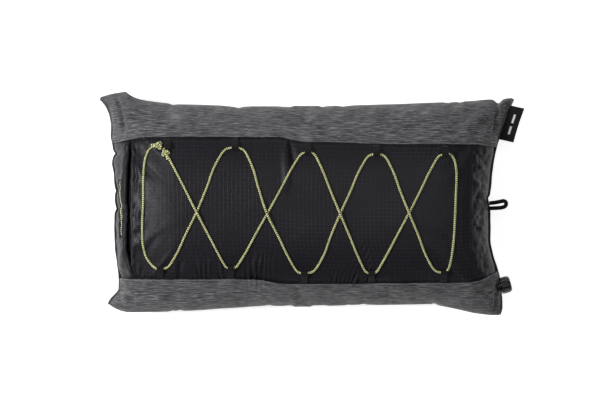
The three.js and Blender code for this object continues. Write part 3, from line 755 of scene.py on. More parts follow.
def black_ripstop():
    """Plain weave with thicker threads every 5 mm both ways, and a soft sheen."""
    m = Surface("black_ripstop", 0.5, Specular_IOR_Level=0.2)
    threads = []
    for way in m.parts(m.cloth(1 / 5.0))[:2]:
        threads.append(m.remap(m.math("PINGPONG", way, 0.5), 0.035, 0.075, 1.0, 0.0))
    lines = m.math("MAXIMUM", *threads)
    mottle = m.noise(m.cloth(0.35), detail=3.0, roughness=0.6)
    shade = m.add(m.times(mottle, 0.6), m.times(m.noise(m.cloth(2.5)), 0.4))
    colour = m.ramp(shade, (0.3, (17, 16, 20)), (0.7, (27, 25, 31)))
    patches = m.remap(m.noise(m.cloth(0.014, 0.02)), 0.38, 0.62, 0.1, 0.65)
    colour = m.blend(m.times(lines, patches), colour, linear((44, 42, 50)))
    height = m.add(m.times(lines, 0.5), m.times(shade, 0.6))
    return m.finish(colour, height, 0.35, 0.0004, m.remap(mottle, 0.3, 0.7, 0.34, 0.52))


def lime_cord():
    """Braided sheath: pale lime strands with darker ones crossing."""
    m = Surface("lime_cord", 0.8, Sheen_Weight=0.2, Specular_IOR_Level=0.3)
    uv = m.parts(m.cloth(1.0))
    along = m.times(uv[0], 2 * math.pi / 5.0)
    around = m.times(uv[1], 3 / CORD_RADIUS)
    one = m.math("SINE", m.add(along, around))
    two = m.math("SINE", m.math("SUBTRACT", along, around))
    flecks = m.times(m.math("SUBTRACT", m.noise(m.cloth(1.6)), 0.5), 0.4)
    tone = m.add(m.remap(m.times(one, two), -0.4, 0.4, 0.05, 0.95), flecks)
    colour = m.ramp(tone, (0.15, (50, 54, 12)), (0.4, (138, 143, 52)), (0.65, (204, 205, 120)),
                    (0.9, (238, 237, 192)))
    return m.finish(colour, tone, 0.6, 0.0005)


def webbing(name, dark, light, pitch):
    """Narrow woven strap with ribs across it."""
    m = Surface(name, 0.8, Sheen_Weight=0.04, Specular_IOR_Level=0.2)
    uv = m.parts(m.cloth(1.0))
    weave = m.times(m.ripple(uv[0], 2 * math.pi / pitch), m.ripple(uv[1], 2 * math.pi / (pitch * 0.8)))
    tone = m.add(m.remap(weave, -1, 1, 0.1, 0.7), m.times(m.noise(m.cloth(3.0)), 0.3))
    return m.finish(m.ramp(tone, (0.2, dark), (0.8, light)), tone, 0.6, 0.0004)


def label_print():
    """The pale thread of the bars on the label."""
    m = Surface("label_print", 0.75)
    grain = m.noise(m.cloth(2.5))
    return m.finish(m.ramp(grain, (0.3, 196), (0.7, 232)), grain, 0.4, 0.0003)


def valve_plastic():
    """Glossy black plastic with a faint unevenness."""
    m = Surface("valve_plastic", 0.2, Specular_IOR_Level=0.5)
    swirl = m.noise(m.place("Object"), 260, 3.0, 0.6)
    fine = m.noise(m.place("Object"), 1400)
    colour = m.ramp(swirl, (0.3, (5, 5, 6)), (0.7, (11, 11, 13)))
    return m.finish(colour, fine, 0.05, 0.0002, m.remap(swirl, 0.3, 0.7, 0.1, 0.2))


def coated(name, low, high, roughness, size):
    """Coated cloth, rubber or foam: a fine grain over a soft mottle."""
    m = Surface(name, roughness)
    mottle = m.noise(m.place("Object"), 60, 3.0, 0.6)
    grain = m.noise(m.place("Object"), size)
    tone = m.add(m.times(mottle, 0.5), m.times(grain, 0.5))
    return m.finish(m.ramp(tone, (0.35, low), (0.65, high)), grain, 0.4, 0.0004)


def thread(name, level):
    """Twisted sewing thread of a display colour."""
    m = Surface(name, 0.6, Sheen_Weight=0.2)
    twist = m.ripple(m.add(*m.parts(m.cloth(1.0))[:2]), 9.0)
    low = tuple(c * 0.7 for c in level)
    return m.finish(m.ramp(m.remap(twist, -1, 1), (0.1, low), (0.9, level)), twist, 0.5, 0.0002)


GREY = heather_fabric()
BLACK = black_ripstop()
LIME = lime_cord()
WEBBING = webbing("black_webbing", (6, 6, 7), (24, 24, 26), 0.9)
LABEL = webbing("woven_label", (14, 14, 16), (32, 32, 35), 0.6)
PRINT = label_print()
PLASTIC = valve_plastic()
SEAL = coated("seal_rubber", (48, 48, 50), (64, 64, 67), 0.75, 900)
SKIN = coated("coated_bladder", (176, 180, 186), (196, 200, 205), 0.55, 700)
FOAM = coated("foam", (216, 207, 180), (238, 230, 206), 0.98, 500)
# The grey thread is paler than the band: partly the thread's own colour, partly a painted highlight standing
# in for the lit crest of the seam's fold.
PALE_THREAD_PAINTED_HIGHLIGHT = thread("grey_thread_painted_highlight", (128, 128, 131))
BLACK_THREAD = thread("black_thread", (40, 40, 43))


# ---- cover

# The thickness of the cover's cloth, and the columns of points along the pillow.
CLOTH, COLUMNS = 0.5, 350
column_u = even_steps(lambda t: np.stack([t * WAIST_LENGTH, CROWN * crown(t, 0 * t)], -1), -1, 1, COLUMNS)

# Distance from the seam and height, from the hidden turn-under over the roll to the plain band.
BAND_FOLD = ((5.0, -0.35), (2.5, -0.35), (1.0, -0.3), (0.45, -0.12), (0.12, 0.2), (0.02, 0.55), (0.15, 0.9),
             (0.45, 1.12), (0.85, 1.15), (1.25, 0.9), (1.6, 0.6), (2.0, 0.62), (2.5, 0.95), (3.3, 1.25),
             (4.6, 1.3), (6.4, 1.05), (8.8, 0.7), (11.8, 0.35), (15.5, 0.1))
# The same for the panel, whose edge lies under the band's roll.
PANEL_FOLD = ((-3.2, -1.1), (-1.4, -1.0), (0.0, -0.92), (0.9, -0.85), (1.9, -0.7), (3.2, -0.45), (5.0, -0.2),
              (7.0, -0.05))
# Rows of points beyond those folds, and over the sleeping face.
BAND_REST, PANEL_REST, FACE_ROWS = 22, 104, 54
# How many of a band's rows can be seen from above.
BAND_VISIBLE = 14


def at_seam(side, sign, profile):
    """Points of the back beside a seam: sign 1 goes into the band, -1 into the panel."""
    seam = seam_v(side, column_u)
    rows, vs = [], []
    for s, h in profile:
        v = seam + side * sign * s / V_LENGTH
        rows.append(place_on_back(column_u, v, h, side if sign > 0 else 0))
        vs.append(v)
    return rows, vs


def place_on_back(u, v, h, side):
    """Points h above the folded back: side 1 or -1 for a band, 0 for the panel."""
    p, n = back(u, v), outward(back, u, v)
    x, y = p[..., 0], p[..., 1]
    inside = 1 - smooth((np.maximum(np.abs(u), np.abs(v)) - 0.97) / 0.03)
    relief = band_relief(x, y, side) if side else panel_relief(x, y)
    return p + n * (h + relief * mix(0.15, 1, inside))[..., None]


def section_steps(height, start, count):
    """Values of v from start to 1 that space the points of a middle section evenly."""
    return even_steps(lambda t: np.stack([WAIST_WIDTH * t, height(crown(0 * t, t))], -1), start, 1, count)


def band_rows(side):
    """A grey band's rows of points, from its fold at the seam to the pillow's long edge."""
    rows, vs = at_seam(side, 1, BAND_FOLD)
    steps = section_steps(lambda c: CROWN * c, abs(float(vs[-1][COLUMNS // 2])), BAND_REST)
    for t in ((steps - steps[0]) / (1 - steps[0]))[1:]:
        v = mix(vs[-1], side * np.ones(COLUMNS), t)
        rows.append(place_on_back(column_u, v, 0.1 * (1 - t), side))
    return rows


def face_row(v):
    """One row of the sleeping face, with soft wrinkles where it doesn't rest."""
    v = np.full(COLUMNS, v)
    p = face(column_u, v)
    x, y = p[:, 0], p[:, 1]
    lift = smooth(p[:, 2] / 12) * smooth((1 - np.abs(v)) / 0.04)
    wrinkles = 0.6 * waves(x, y, 15, 51) + 0.8 * waves(x, y, 30, 52)
    p = p + outward(face, column_u, v) * (wrinkles * lift)[:, None]
    p[:, 2] = np.maximum(p[:, 2], 0)
    return p


def grey_wrap():
    """One piece of knit: lower band, round the edge, sleeping face, round the edge, upper band."""
    lower, upper = band_rows(-1), band_rows(1)
    steps = section_steps(lambda c: SEAM_Z * (1 - np.minimum(1, c / REST_SHARE)), -1, FACE_ROWS)
    points = np.stack(lower + [face_row(v) for v in steps[1:-1]] + upper[::-1])
    return points, len(lower)


wrap_points, rim_row = grey_wrap()
wrap_mesh = shell(wrap_points, CLOTH, middle_row=rim_row + FACE_ROWS // 2, flip=True)
grow("grey_wrap", wrap_mesh, GREY, stands_for=("cover_face", "upper_band", "lower_band"))


def back_panel():
    """The ripstop panel's rows of points, from the lower seam to the upper one."""
    lower, low_v = at_seam(-1, -1, PANEL_FOLD)
    upper, up_v = at_seam(1, -1, PANEL_FOLD)
    rows = list(lower)
    for t in np.linspace(0, 1, PANEL_REST + 2)[1:-1]:
        rows.append(place_on_back(column_u, mix(low_v[-1], up_v[-1], t), 0, 0))
    return np.stack(rows + upper[::-1])


panel_points = back_panel()
panel_mesh = shell(panel_points, CLOTH, middle_row=len(panel_points) // 2)
grow("back_panel_cloth", panel_mesh, BLACK, stands_for=("back_panel",))


def top_tree():
    """What a ray from above meets: bands and panel."""
    skip = len(BAND_FOLD) - BAND_VISIBLE
    verts, faces = [], []
    for points in (panel_points, wrap_points[skip:rim_row], wrap_points[-rim_row:-skip]):
        quads = grid_faces(*points.shape[:2])[1] + len(verts)
        verts.extend(points.reshape(-1, 3).tolist())
        faces.extend(quads.tolist())
    return BVHTree.FromPolygons(verts, faces)


TOP = top_tree()


def drop(x, y):
    """Height of the back at x, y and its outward direction."""
    hit, normal, _, _ = TOP.ray_cast(Vector((x, y, 300)), Vector((0, 0, -1)))
    if hit is None:
        hit, normal, _, _ = TOP.find_nearest(Vector((x, y, 60)))
    n = np.array(normal)
    return hit.z, n if n[2] > 0 else -n


def lay(points, lift):
    """Puts plan points on the back, each lifted along +Z."""
    out, ups = [], []
    for (x, y), h in zip(points, np.broadcast_to(lift, len(points))):
        z, n = drop(x, y)
        out.append((x, y, z + h))
        ups.append(n)
    return np.array(out), np.array(ups)


# ---- stitches

# The row of the wrap, from either of its edges, that the topstitching follows, which is the crest of the
# seam's fold, where the pale thread is partly its own colour and partly a painted highlight of the lit fold
# edge; and the stitches' pitch, length and radius.
STITCH_ROW = 8
STITCH_PITCH, STITCH_LENGTH, STITCH_RADIUS = 3.0, 2.5, 0.3
# A stitch's middle line: place along it as a share of its length, and height in radii.
STITCH_ARC = ((-0.5, -0.7), (-0.3, 0.3), (0, 0.6), (0.3, 0.3), (0.5, -0.7))


def stitches(path, ups):
    """Separate stitches along a path, each sunk into the cloth at its ends."""
    heap = Heap()
    run = run_of(path)
    for at in np.arange(STITCH_PITCH / 2, run[-1], STITCH_PITCH):
        where = np.clip([at - STITCH_LENGTH / 2, at, at + STITCH_LENGTH / 2], 0, run[-1])
        start, middle, end = np.stack([np.interp(where, run, path[:, k]) for k in range(3)], -1)
        up = unit(np.array([np.interp(at, run, ups[:, k]) for k in range(3)]))
        way = unit(end - start) * STITCH_LENGTH
        arc = [middle + way * k + up * (0.1 + STITCH_RADIUS * h) for k, h in STITCH_ARC]
        heap.add(*sweep(arc, up, circle(STITCH_RADIUS, 6), scale=(0.5, 1, 1, 1, 0.5)))
    return heap


# Both rows of pale thread sit on the fold's crest: partly real topstitching, partly a painted highlight line
# along the seam.
for side, row, name in ((1, -1 - STITCH_ROW, "upper"), (-1, STITCH_ROW, "lower")):
    ups = outward(back, column_u, seam_v(side, column_u))
    grow(f"{name}_topstitch", stitches(wrap_points[row, 6:-6], ups[6:-6]), PALE_THREAD_PAINTED_HIGHLIGHT)


# ---- webbing tabs

# A tab's width and thickness, and how far from the seam it holds the cord.
TAB_WIDTH, TAB_THICKNESS, TAB_REACH = 8.0, 1.0, 12.0
# Nearer the seam than this, the tab follows the slope it has further out.
TAB_CLEAR = 1.5
# The bar tacks' distance from the seam and height above the panel, and half of one stitch.
TACK_REACH, TACK_HEIGHT, TACK_SLANT = 2.6, 2.0, np.array((0.2, 0.75, 0))
# Distance from the seam over the panel, and height above it: over the cord and back beneath it.
TAB_PATH = ((-1.6, 0.35), (0.4, 0.5), (2.2, 1.2), (5.0, 2.2), (8.0, 3.9), (10.5, 4.85), (12.4, 4.9),
            (13.8, 4.0), (14.3, 2.6), (13.7, 1.2), (12.2, 0.6), (9.0, 0.6), (5.0, 0.5), (1.5, -0.1),
            (-1.4, -0.3))


def beside_seam(side, x, s=0.0):
    """The Y at a distance from a seam, over the panel."""
    return float(seam_y(side, np.array(x))) - side * s


def tab_cord_y(side, x):
    return beside_seam(side, x, TAB_REACH)


def webbing_tab(side, x, seed):
    """A strap that comes out of the seam, folds round the cord and goes back in."""
    lean = np.random.default_rng(seed).uniform(-0.05, 0.05)
    seam = beside_seam(side, x)
    points = []
    for s, h in TAB_PATH:
        z, _ = drop(x + lean * s, seam - side * max(s, TAB_CLEAR))
        if s < TAB_CLEAR:
            z = z + (z - drop(x, seam - side * 3 * TAB_CLEAR)[0]) / 3 * (TAB_CLEAR - s)
        points.append((x + lean * s, seam - side * s, z + h))
    path = curve_through(points, 0.45)
    up = np.cross((1.0, 0, 0), unit(np.gradient(path, axis=0)))
    return sweep(path, up, strip(TAB_WIDTH, TAB_THICKNESS, 7))


def tack(a, b, lift, radius, tips):
    """One thick stitch from a to b, thinner at its tips."""
    return sweep([a, (a + b) / 2 + lift, b], (0, 0, 1), circle(radius, 6), scale=(tips, 1, tips))


def bar_tack(heap, x, side):
    """Slanting stitches across a tab, near the seam."""
    y = beside_seam(side, x, TACK_REACH)
    z = drop(x, y)[0] + TACK_HEIGHT
    for share in np.linspace(-0.5, 0.5, 12):
        middle = np.array((x + share * (TAB_WIDTH - 1.0), y, z))
        heap.add(*tack(middle - TACK_SLANT, middle + TACK_SLANT, (0, 0, 0.2), 0.2, 0.7))


TACKS = Heap()
for side, name in SIDES:
    for n, x in enumerate(TAB_X[side], 1):
        strap = webbing_tab(side, x, 100 * n + side)
        grow(f"{name}_webbing_tab_{n}", strap, WEBBING, stands_for=(f"{name}_tab_{n}",))
        bar_tack(TACKS, x, side)
grow("tab_bar_tacks", TACKS, BLACK_THREAD)


# ---- lacing

# The cord's way in plan from the first knot round the flap's end, and round the valve's end.
LEFT_BEND = ((-176.0, 71.2), (-182.8, 66.6), (-187.6, 54.6), (-189.6, 30.6), (-189.6, 6.6), (-190.8, -23.4),
             (-190.0, -47.4), (-186.0, -62.0), (-179.0, -71.5))
RIGHT_BEND = ((176.0, 61.2), (181.0, 55.0), (183.4, 43.8), (183.8, 32.0), (182.8, 8.0), (181.6, -21.4),
              (179.6, -49.4), (176.6, -68.0), (173.2, -77.5))
# Where the two knots lie.
KNOT_ONE, KNOT_TWO = (-171.5, 71.6), (-163.2, 63.4)
# Where the two zigzags cross between the tabs, and the line where the cord is split in two.
CROSSINGS = ((-126, -8), (-42, -10), (45, -10), (127, -9))
CORD_SPLIT = -9.0
# How far each strand bows out beside its tab: towards the flap, towards the valve.
BOWS = {1: ((0, 1.5), (8, 7.5), (4, 3.7), (6, 6), (3.4, 0)),
        -1: ((0, 5.5), (1.5, 3), (4, 8), (3, 2.2), (7, 0))}
# That bow along the strand: share of the way to the crossing, and share of the bow.
BOW_SHAPE = ((0.03, 0.62), (0.08, 0.9), (0.17, 1.0), (0.35, 0.95), (0.6, 0.5))


def leave_tab(side, n, way):
    """Plan points from the middle of a tab to the crossing on one side of it."""
    x = TAB_X[side][n]
    bow = BOWS[side][n][0 if way < 0 else 1]
    y = tab_cord_y(side, x)
    cx, cy = CROSSINGS[n if way > 0 else n - 1]
    x_out = x + way * 3.2
    points = [(x, y), (x_out, y - side * 0.5)]
    for t, share in BOW_SHAPE:
        points.append((mix(x_out, cx, t) + way * (bow * share + 0.7 * (1 - t) ** 6), mix(y, cy, t)))
    return points


def strand(side, n, way):
    """From one tab to the next, which lies across the panel."""
    first = leave_tab(side, n, way)
    second = leave_tab(-side, n + way, -way)
    return first + [CROSSINGS[n if way > 0 else n - 1]] + second[:0:-1]


def lacing_plan():
    """The whole cord in plan, from knot to knot: a zigzag to the valve's end and another back."""
    first, last = TAB_X[-1][0], TAB_X[-1][4]
    points = [KNOT_ONE, *LEFT_BEND, (first - 4.2, tab_cord_y(-1, first) + 0.6)]
    points += strand(-1, 0, 1) + strand(1, 1, 1) + strand(-1, 2, 1) + strand(1, 3, 1)
    points += [(last, tab_cord_y(-1, last)), *RIGHT_BEND[::-1]]
    points += strand(1, 4, -1) + strand(-1, 3, -1) + strand(1, 2, -1)
    points += leave_tab(-1, 1, -1) + [CROSSINGS[0], (-143.5, 27.0), (-156.5, 51.5), KNOT_TWO]
    return np.array(points)


def lacing_curve():
    """The cord's middle line on the back, over the tabs and over itself where it crosses."""
    flat = curve_through(lacing_plan(), 1.1)
    heading = np.gradient(flat, axis=0)
    lift = np.full(len(flat), CORD_RADIUS + 0.15)
    # strands that run from upper left to lower right lie on top where two cross
    x, y = flat.T
    falls = heading[:, 0] * heading[:, 1] < 0
    over = falls & (np.abs(x) < 150) & (np.abs(y - CORD_SPLIT) < 24)
    lift = lift + np.where(over, 2 * CORD_RADIUS * hump(y, CORD_SPLIT, 13) * 1.02, 0)
    for side, places in TAB_X.items():
        for tab_x in places:
            lift = lift + 1.1 * hump(np.hypot(x - tab_x, y - tab_cord_y(side, tab_x)), 0, 7)
    lift = lift + 0.4 * (waves(x, y, 22, 61) + 0.4) * hump(y, CORD_SPLIT, 50)
    points, ups = lay(flat, lift)
    for _ in range(3):
        points[:, 2] = np.convolve(np.pad(points[:, 2], 3, mode="edge"), np.ones(7) / 7, "valid")
    return points, unit(soften(ups, 0, 12))


cord_points, cord_ups = lacing_curve()


def split_runs(points, ups, level):
    """Cuts a curve where it passes a level of Y, giving the runs above and below."""
    both = np.hstack([points, ups])
    above = points[:, 1] > level
    cuts = np.flatnonzero(above[1:] != above[:-1]) + 1
    joins = [both[:0]]
    for n in cuts:
        t = (level - both[n - 1, 1]) / (both[n, 1] - both[n - 1, 1])
        joins.append(mix(both[n - 1], both[n], t)[None])
    joins.append(both[:0])
    runs = {True: [], False: []}
    for start, part, before, after in zip([0, *cuts], np.split(both, cuts), joins, joins[1:]):
        run = np.vstack([before, part, after])
        runs[bool(above[start])].append((run[:, :3], run[:, 3:]))
    return runs[True], runs[False]


cord_above, cord_below = split_runs(cord_points, cord_ups, CORD_SPLIT)
for name, runs, rim_y in (("upper", cord_above, 60.0), ("lower", cord_below, -78.0)):
    heap = Heap()
    for p, u in runs:
        heap.add(*sweep(p, u, circle(CORD_RADIUS, 12)))
    blend = ("pillow", "lacing", (0, rim_y, 0), (0, CORD_SPLIT, 0))
    grow(f"lacing_{name}", heap, LIME, stands_for=("shock_cord",) if name == "upper" else (), blend=blend)


def overhand(centre, size, turn):
    """A small tight knot: a trefoil of cord."""
    t = np.linspace(0, 2 * math.pi, 73)
    x = np.sin(t) + 2 * np.sin(2 * t)
    y = np.cos(t) - 2 * np.cos(2 * t)
    z = -np.sin(3 * t) * 1.15
    c, s = math.cos(turn), math.sin(turn)
    points = centre + np.stack([c * x - s * y, s * x + c * y, z], -1) * size
    points[-1] = points[0]
    return sweep(points, carried_up(points), circle(CORD_RADIUS * 0.92, 10), caps=False)


for name, place, tail, turn in (("left", KNOT_ONE, (-9.0, 0.8), 0.4), ("right", KNOT_TWO, (2.6, -9.0), 1.3)):
    centre = np.array((*place, drop(*place)[0] + CORD_RADIUS * 1.7))
    heap = Heap().add(*overhand(centre, 1.5, turn))
    start, tail = np.array(place), np.array(tail)
    flat = curve_through([start, start + tail * 0.5 + (0, 0.5), start + tail], 0.9)
    points, ups = lay(flat, CORD_RADIUS + 0.3)
    heap.add(*sweep(points, ups, circle(CORD_RADIUS, 12), scale=[1] * (len(points) - 1) + [0.7]))
    grow(f"knot_{name}", heap, LIME, stands_for=(f"cord_knot_{name}",))


# ---- pocket flap and its cord

# The flap's halves meet at this Y. The cord in its hem runs from top to foot.
FLAP_SPLIT = 2.0
DRAW_TOP, DRAW_FOOT, DRAW_RADIUS = 31.0, -39.5, 1.15
# Points across the flap, closer together towards the end seam, and those it has an underside at.
FLAP_ACROSS = np.linspace(0, 1, 34) ** 1.7
FLAP_UNDER = range(28, 12, -3)
# Each half: rows of the flap and of the cord, the Y where it is sewn down, and where it gapes fully.
FLAP_HALVES = (
    ("upper", (FLAP_SPLIT, FLAP_TOP + 1.0, 64), (FLAP_SPLIT, DRAW_TOP, 30), FLAP_TOP, 12.0),
    ("lower", (FLAP_FOOT - 1.0, FLAP_SPLIT, 72), (DRAW_FOOT, FLAP_SPLIT, 40), FLAP_FOOT, -8.0),
)


def draw_x(y):
    return mix(-217.9, -215.4, ((DRAW_TOP - y) / (DRAW_TOP - DRAW_FOOT)) ** 2)


def flap_height(x, y, edge):
    """Height of the flap's outer side above the cover's own crown."""
    h = 0.4 + 1.3 * smooth((x + 222) / 8)
    h = h + 0.8 * hump(x, edge - 4.5, 3.5) - 0.4 * hump(x, edge - 1.8, 0.7)
    slit = smooth((DRAW_TOP + 2 - y) / 4) * smooth((y - DRAW_FOOT + 2) / 4)
    off = x - draw_x(y)
    h = h + slit * (-2.3 * hump(off, 0, 1.5) + 0.7 * hump(off, 2.9, 1.2) + 0.6 * hump(off, -2.9, 1.2))
    low = smooth((-20 - y) / 40)
    h = h + (0.25 + 0.5 * low) * waves(x, y * 0.6, 6, 71) + 0.35 * waves(x, y * 0.6, 3.2, 72)
    h = h + 0.5 * waves(x * 0.3, y, 12, 73)
    return mix(-0.55, h, flap_ease(y))


def flap_section(y):
    """Outer side from the end seam to the free edge, round it, and back beneath."""
    edge = float(flap_edge_x(y))
    radius = mix(0.18, 1.5, float(flap_ease(y)))
    _, rim_v = locate(np.array([-222.0]), np.array([y]))
    rim_x = float(back(np.array([-1.0]), rim_v)[0, 0])
    outer = mix(rim_x, edge - radius, FLAP_ACROSS)
    u, v = locate(outer, np.full_like(outer, y))
    base, normal = back(u, v), outward(back, u, v)
    h = flap_height(outer, y, edge)
    points = list(base + normal * h[:, None])
    for turn in np.linspace(0, math.pi, 8)[1:]:
        rise = h[-1] - radius + radius * math.cos(turn)
        points.append(base[-1] + normal[-1] * rise + (radius * math.sin(turn), 0, 0))
    for k in FLAP_UNDER:
        points.append(base[k] + normal[k] * (min(h[-1], h[k]) - 2 * radius - 0.1))
    return points


def hem_cord(span):
    """The cord in the flap's hem: it sinks at both ends of the slit."""
    points = []
    for y in np.linspace(*span):
        x = draw_x(y)
        u, v = locate(np.array([x]), np.array([y]))
        sink = 0.3 + 0.9 * smooth((-10 - y) / 12)
        sink = sink + 2.5 * smooth((y - DRAW_TOP + 5) / 5) + 2.5 * smooth((DRAW_FOOT + 6 - y) / 6)
        h = float(flap_height(x, y, float(flap_edge_x(y)))) + 1.5 - sink
        points.append((back(u, v) + outward(back, u, v) * h)[0])
    return sweep(points, (0, 0, 1), circle(DRAW_RADIUS, 12))


for name, flap_span, cord_span, sewn_y, free_y in FLAP_HALVES:
    blend = ("pillow", "pocket_flap", (0, sewn_y, 0), (0, free_y, 0))
    flap_node, cord_node = (("pocket_flap",), ("draw_cord",)) if name == "upper" else ((), ())
    sheet = shell(np.stack([flap_section(y) for y in np.linspace(*flap_span)]), 0.35)
    grow(f"pocket_flap_{name}", sheet, BLACK, stands_for=flap_node, blend=blend)
    grow(f"drawcord_{name}", hem_cord(cord_span), LIME, stands_for=cord_node, blend=blend)


# ---- end seams

def end_seam(u_sign, name, low, high, surface):
    """The narrow rolled edge where the two sides of the cover are sewn together at an end."""
    v = np.linspace(low, high, 90)
    u = np.full_like(v, float(u_sign))
    p = back(u, v)
    out = np.cross(unit(np.gradient(p, axis=0)), (0, 0, 1.0)) * u_sign
    p = p + out * (0.9 + 0.25 * waves(p[:, 1], 0 * v, 9, 81))[:, None]
    p[:, 2] += 0.3 * waves(p[:, 1], 0 * v, 14, 82)
    grow(name, sweep(p, (0, 0, 1), circle(1.7, 10, 0.85)), surface)


seam_at = {(s, e): float(seam_v(s, np.array([float(e)]))[0]) for s in (1, -1) for e in (1, -1)}
for e, end in ((1, "valve"), (-1, "flap")):
    end_seam(e, f"{end}_end_seam", seam_at[-1, e], seam_at[1, e], BLACK)
    end_seam(e, f"{end}_end_seam_upper", seam_at[1, e], 0.995, GREY)
    end_seam(e, f"{end}_end_seam_lower", -0.995, seam_at[-1, e], GREY)


# ---- hang loop and label

LOOP_ROOT = np.array((226.2, 0.0, SEAM_Z))
# The loop's middle line, from its root.
LOOP_PATH = ((-1.2, 2.9), (2, 3.1), (8, 3.9), (13, 5.0), (16.4, 5.4), (18.6, 4.2), (19.2, 1.9), (18.0, -0.8),
             (14.8, -2.3), (10, -2.9), (5, -3.2), (-1.2, -3.4))


def hang_loop():
    path = [LOOP_ROOT + (x, y, 0.25 * math.sin(x * 0.2)) for x, y in LOOP_PATH]
    cord = sweep(curve_through(path, 0.5), (0, 0, 1), circle(2.4, 16, 0.8))
    bend = LOOP_ROOT - (0.6, 0, 0), LOOP_ROOT + (5.5, 0, 0)
    grow("hang_loop_webbing", cord, WEBBING, stands_for=("hang_loop",), blend=("pillow", "hang_loop", *bend))
    # the bar tack on the cover beside the loop's root
    patch = Heap()
    for y in np.linspace(-5.5, 5.5, 9):
        a, b = (np.array((x, y + shift, drop(x, y)[0] + 0.1)) for x, shift in ((220.4, 0), (222.4, 0.5)))
        patch.add(*tack(a, b, (0.15, 0, 0.3), 0.3, 1))
    grow("loop_bar_tack", patch, BLACK_THREAD)


# The label: half its length, the middle of its root, its run along the seam and its way out.
LABEL_HALF = 21.5
LABEL_ROOT = np.array((WAIST_LENGTH + 29 * (102.5 / 129) ** 2.3 + 2.2, 100.2, SEAM_Z))
LABEL_ALONG = np.array((math.sin(0.31), math.cos(0.31), 0))
LABEL_OUT = np.array((math.cos(0.22), -math.sin(0.22), 0))
# Its section: distance from the seam and half thickness, to the fold at its outer edge.
LABEL_SECTION = ((0.0, 0.72), (2.5, 0.85), (5, 0.9), (7.5, 0.85), (10, 0.75), (14.0, 0.68), (17.4, 0.5),
                 (18.1, 0.2), (18.2, 0))
# The plain bars on it: their distance from the seam, and where each starts and ends.
BAR_REACH, BARS = 9.8, ((-13, -3), (1, 12))


def label_point(s, reach, h):
    """A point of the label: s along the seam, reach out from it, h above its bowed middle."""
    bow = 0.35 * math.sin(s * 0.16) + 0.25
    shrink = 1 - 0.035 * math.cos(s / LABEL_HALF * math.pi / 2)
    rise = h + bow * math.sin(reach / 14 * math.pi) * 0.6
    return LABEL_ROOT + LABEL_ALONG * s + LABEL_OUT * reach * shrink + (0, 0, rise)


def side_label():
    section = LABEL_SECTION + tuple((reach, -h) for reach, h in LABEL_SECTION[-2::-1])
    rows = []
    for s in np.linspace(-LABEL_HALF, LABEL_HALF, 50):
        thin = 0.75 if abs(s) > LABEL_HALF - 0.9 else 1
        rows.append([label_point(s, reach, h * thin) for reach, h in section])
    bend = LABEL_ROOT, LABEL_ROOT + LABEL_OUT * 5.0
    ribbon = shell(np.array(rows), 0.3)
    grow("label_ribbon", ribbon, LABEL, stands_for=("side_label",), blend=("pillow", "side_label", *bend))
    bars = Heap()
    h = np.interp(BAR_REACH, *zip(*LABEL_SECTION)) + 0.02
    for start, end in BARS:
        path = [label_point(s, BAR_REACH, h) for s in np.linspace(start, end, 40)]
        bars.add(*sweep(path, (0, 0, 1), strip(2.6, 0.16)))
    grow("label_stripes", bars, PRINT, body="side_label")


hang_loop()
side_label()


# ---- twist valve

VALVE_LEAN = 0.28
VALVE_SEAT = np.array((WAIST_LENGTH + 17 * (98 / 120) ** 1.8, -98.0, SEAM_Z))
VALVE_AXIS = np.array((math.cos(VALVE_LEAN), math.sin(VALVE_LEAN), 0))
VALVE_SIDE = np.array((0, 0, 1.0))
VALVE_OVER = np.cross(VALVE_AXIS, VALVE_SIDE)
# The cap: its lower and upper end, its outside and inside radius, and how its top is rounded.
CAP_BASE, CAP_END = 3.4, 15.9
CAP_RADIUS, CAP_INSIDE = 10.0, 8.2
CAP_ROUND, CAP_INSET = 5.0, 3.6
FLUTES, FLUTE_DEPTH = 10, 1.1
# Radius and height on the axis: the cap's edge below the flutes, measured from its lower end, its
# top and bore, measured from its upper end, the steps inside it, and the collar under it.
CAP_EDGE = ((7.0, 0), (9.2, 0), (9.75, 0.25), (CAP_RADIUS, 0.8), (CAP_RADIUS, 1.5))
CAP_TOP = ((6.0, 0.15), (5.7, 0.6), (4.4, 0.7), (3.4, 0.65), (2.9, 0.7), (2.65, 1.0), (2.65, 2.6), (6.7, 2.6))
CAP_STEPS = ((6.7, 3.8), (7.8, 3.8), (7.8, 2.2), (6.7, 2.2), (6.7, 0.2))
COLLAR = ((6.55, -1.4), (10.4, -1.4), (10.6, -1.1), (10.4, -0.7), (9.6, -0.2), (8.9, 0.5), (9.2, 1.2),
          (9.4, 1.5), (9.4, 2.4), (9.2, 2.8), (8.8, 3.0), (6.55, 3.0))


def revolve(profile, sides, bend=None):
    """A closed profile of (radius, height) turned about the valve's axis; bend may vary the radius."""
    rings, uvs, faces = [], [], []
    count = len(profile)
    for k in range(sides):
        a = k / sides * 2 * math.pi
        way = VALVE_SIDE * math.cos(a) + VALVE_OVER * math.sin(a)
        for r, h in profile:
            rings.append(VALVE_SEAT + VALVE_AXIS * h + way * (bend(a, r, h) if bend else r))
    for k in range(sides):
        for n in range(count):
            m, q = (n + 1) % count, (k + 1) % sides
            faces.append((k * count + n, k * count + m, q * count + m, q * count + n))
            for turn, row in ((k, n), (k, n + 1), (k + 1, n + 1), (k + 1, n)):
                uvs.append((turn / sides * 60, row * 1.5))
    return rings, faces, uvs


def cap_radius(a, r, h):
    """Cuts the flutes into the outside of the cap, fading out towards both ends."""
    if r < CAP_INSIDE or h > CAP_END - 0.4:
        return r
    window = smooth((h - CAP_BASE - 1.2) / 1.2) * smooth((CAP_END - 0.6 - h) / 1.6)
    return r - FLUTE_DEPTH * max(0.0, math.cos(a * FLUTES)) ** 2 * float(window)


def dress(name, surface):
    """Gives a material to a solid of the CAD that is kept, since the cap hides it at rest."""
    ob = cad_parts[name]
    ob.data.materials.clear()
    ob.data.materials.append(surface)


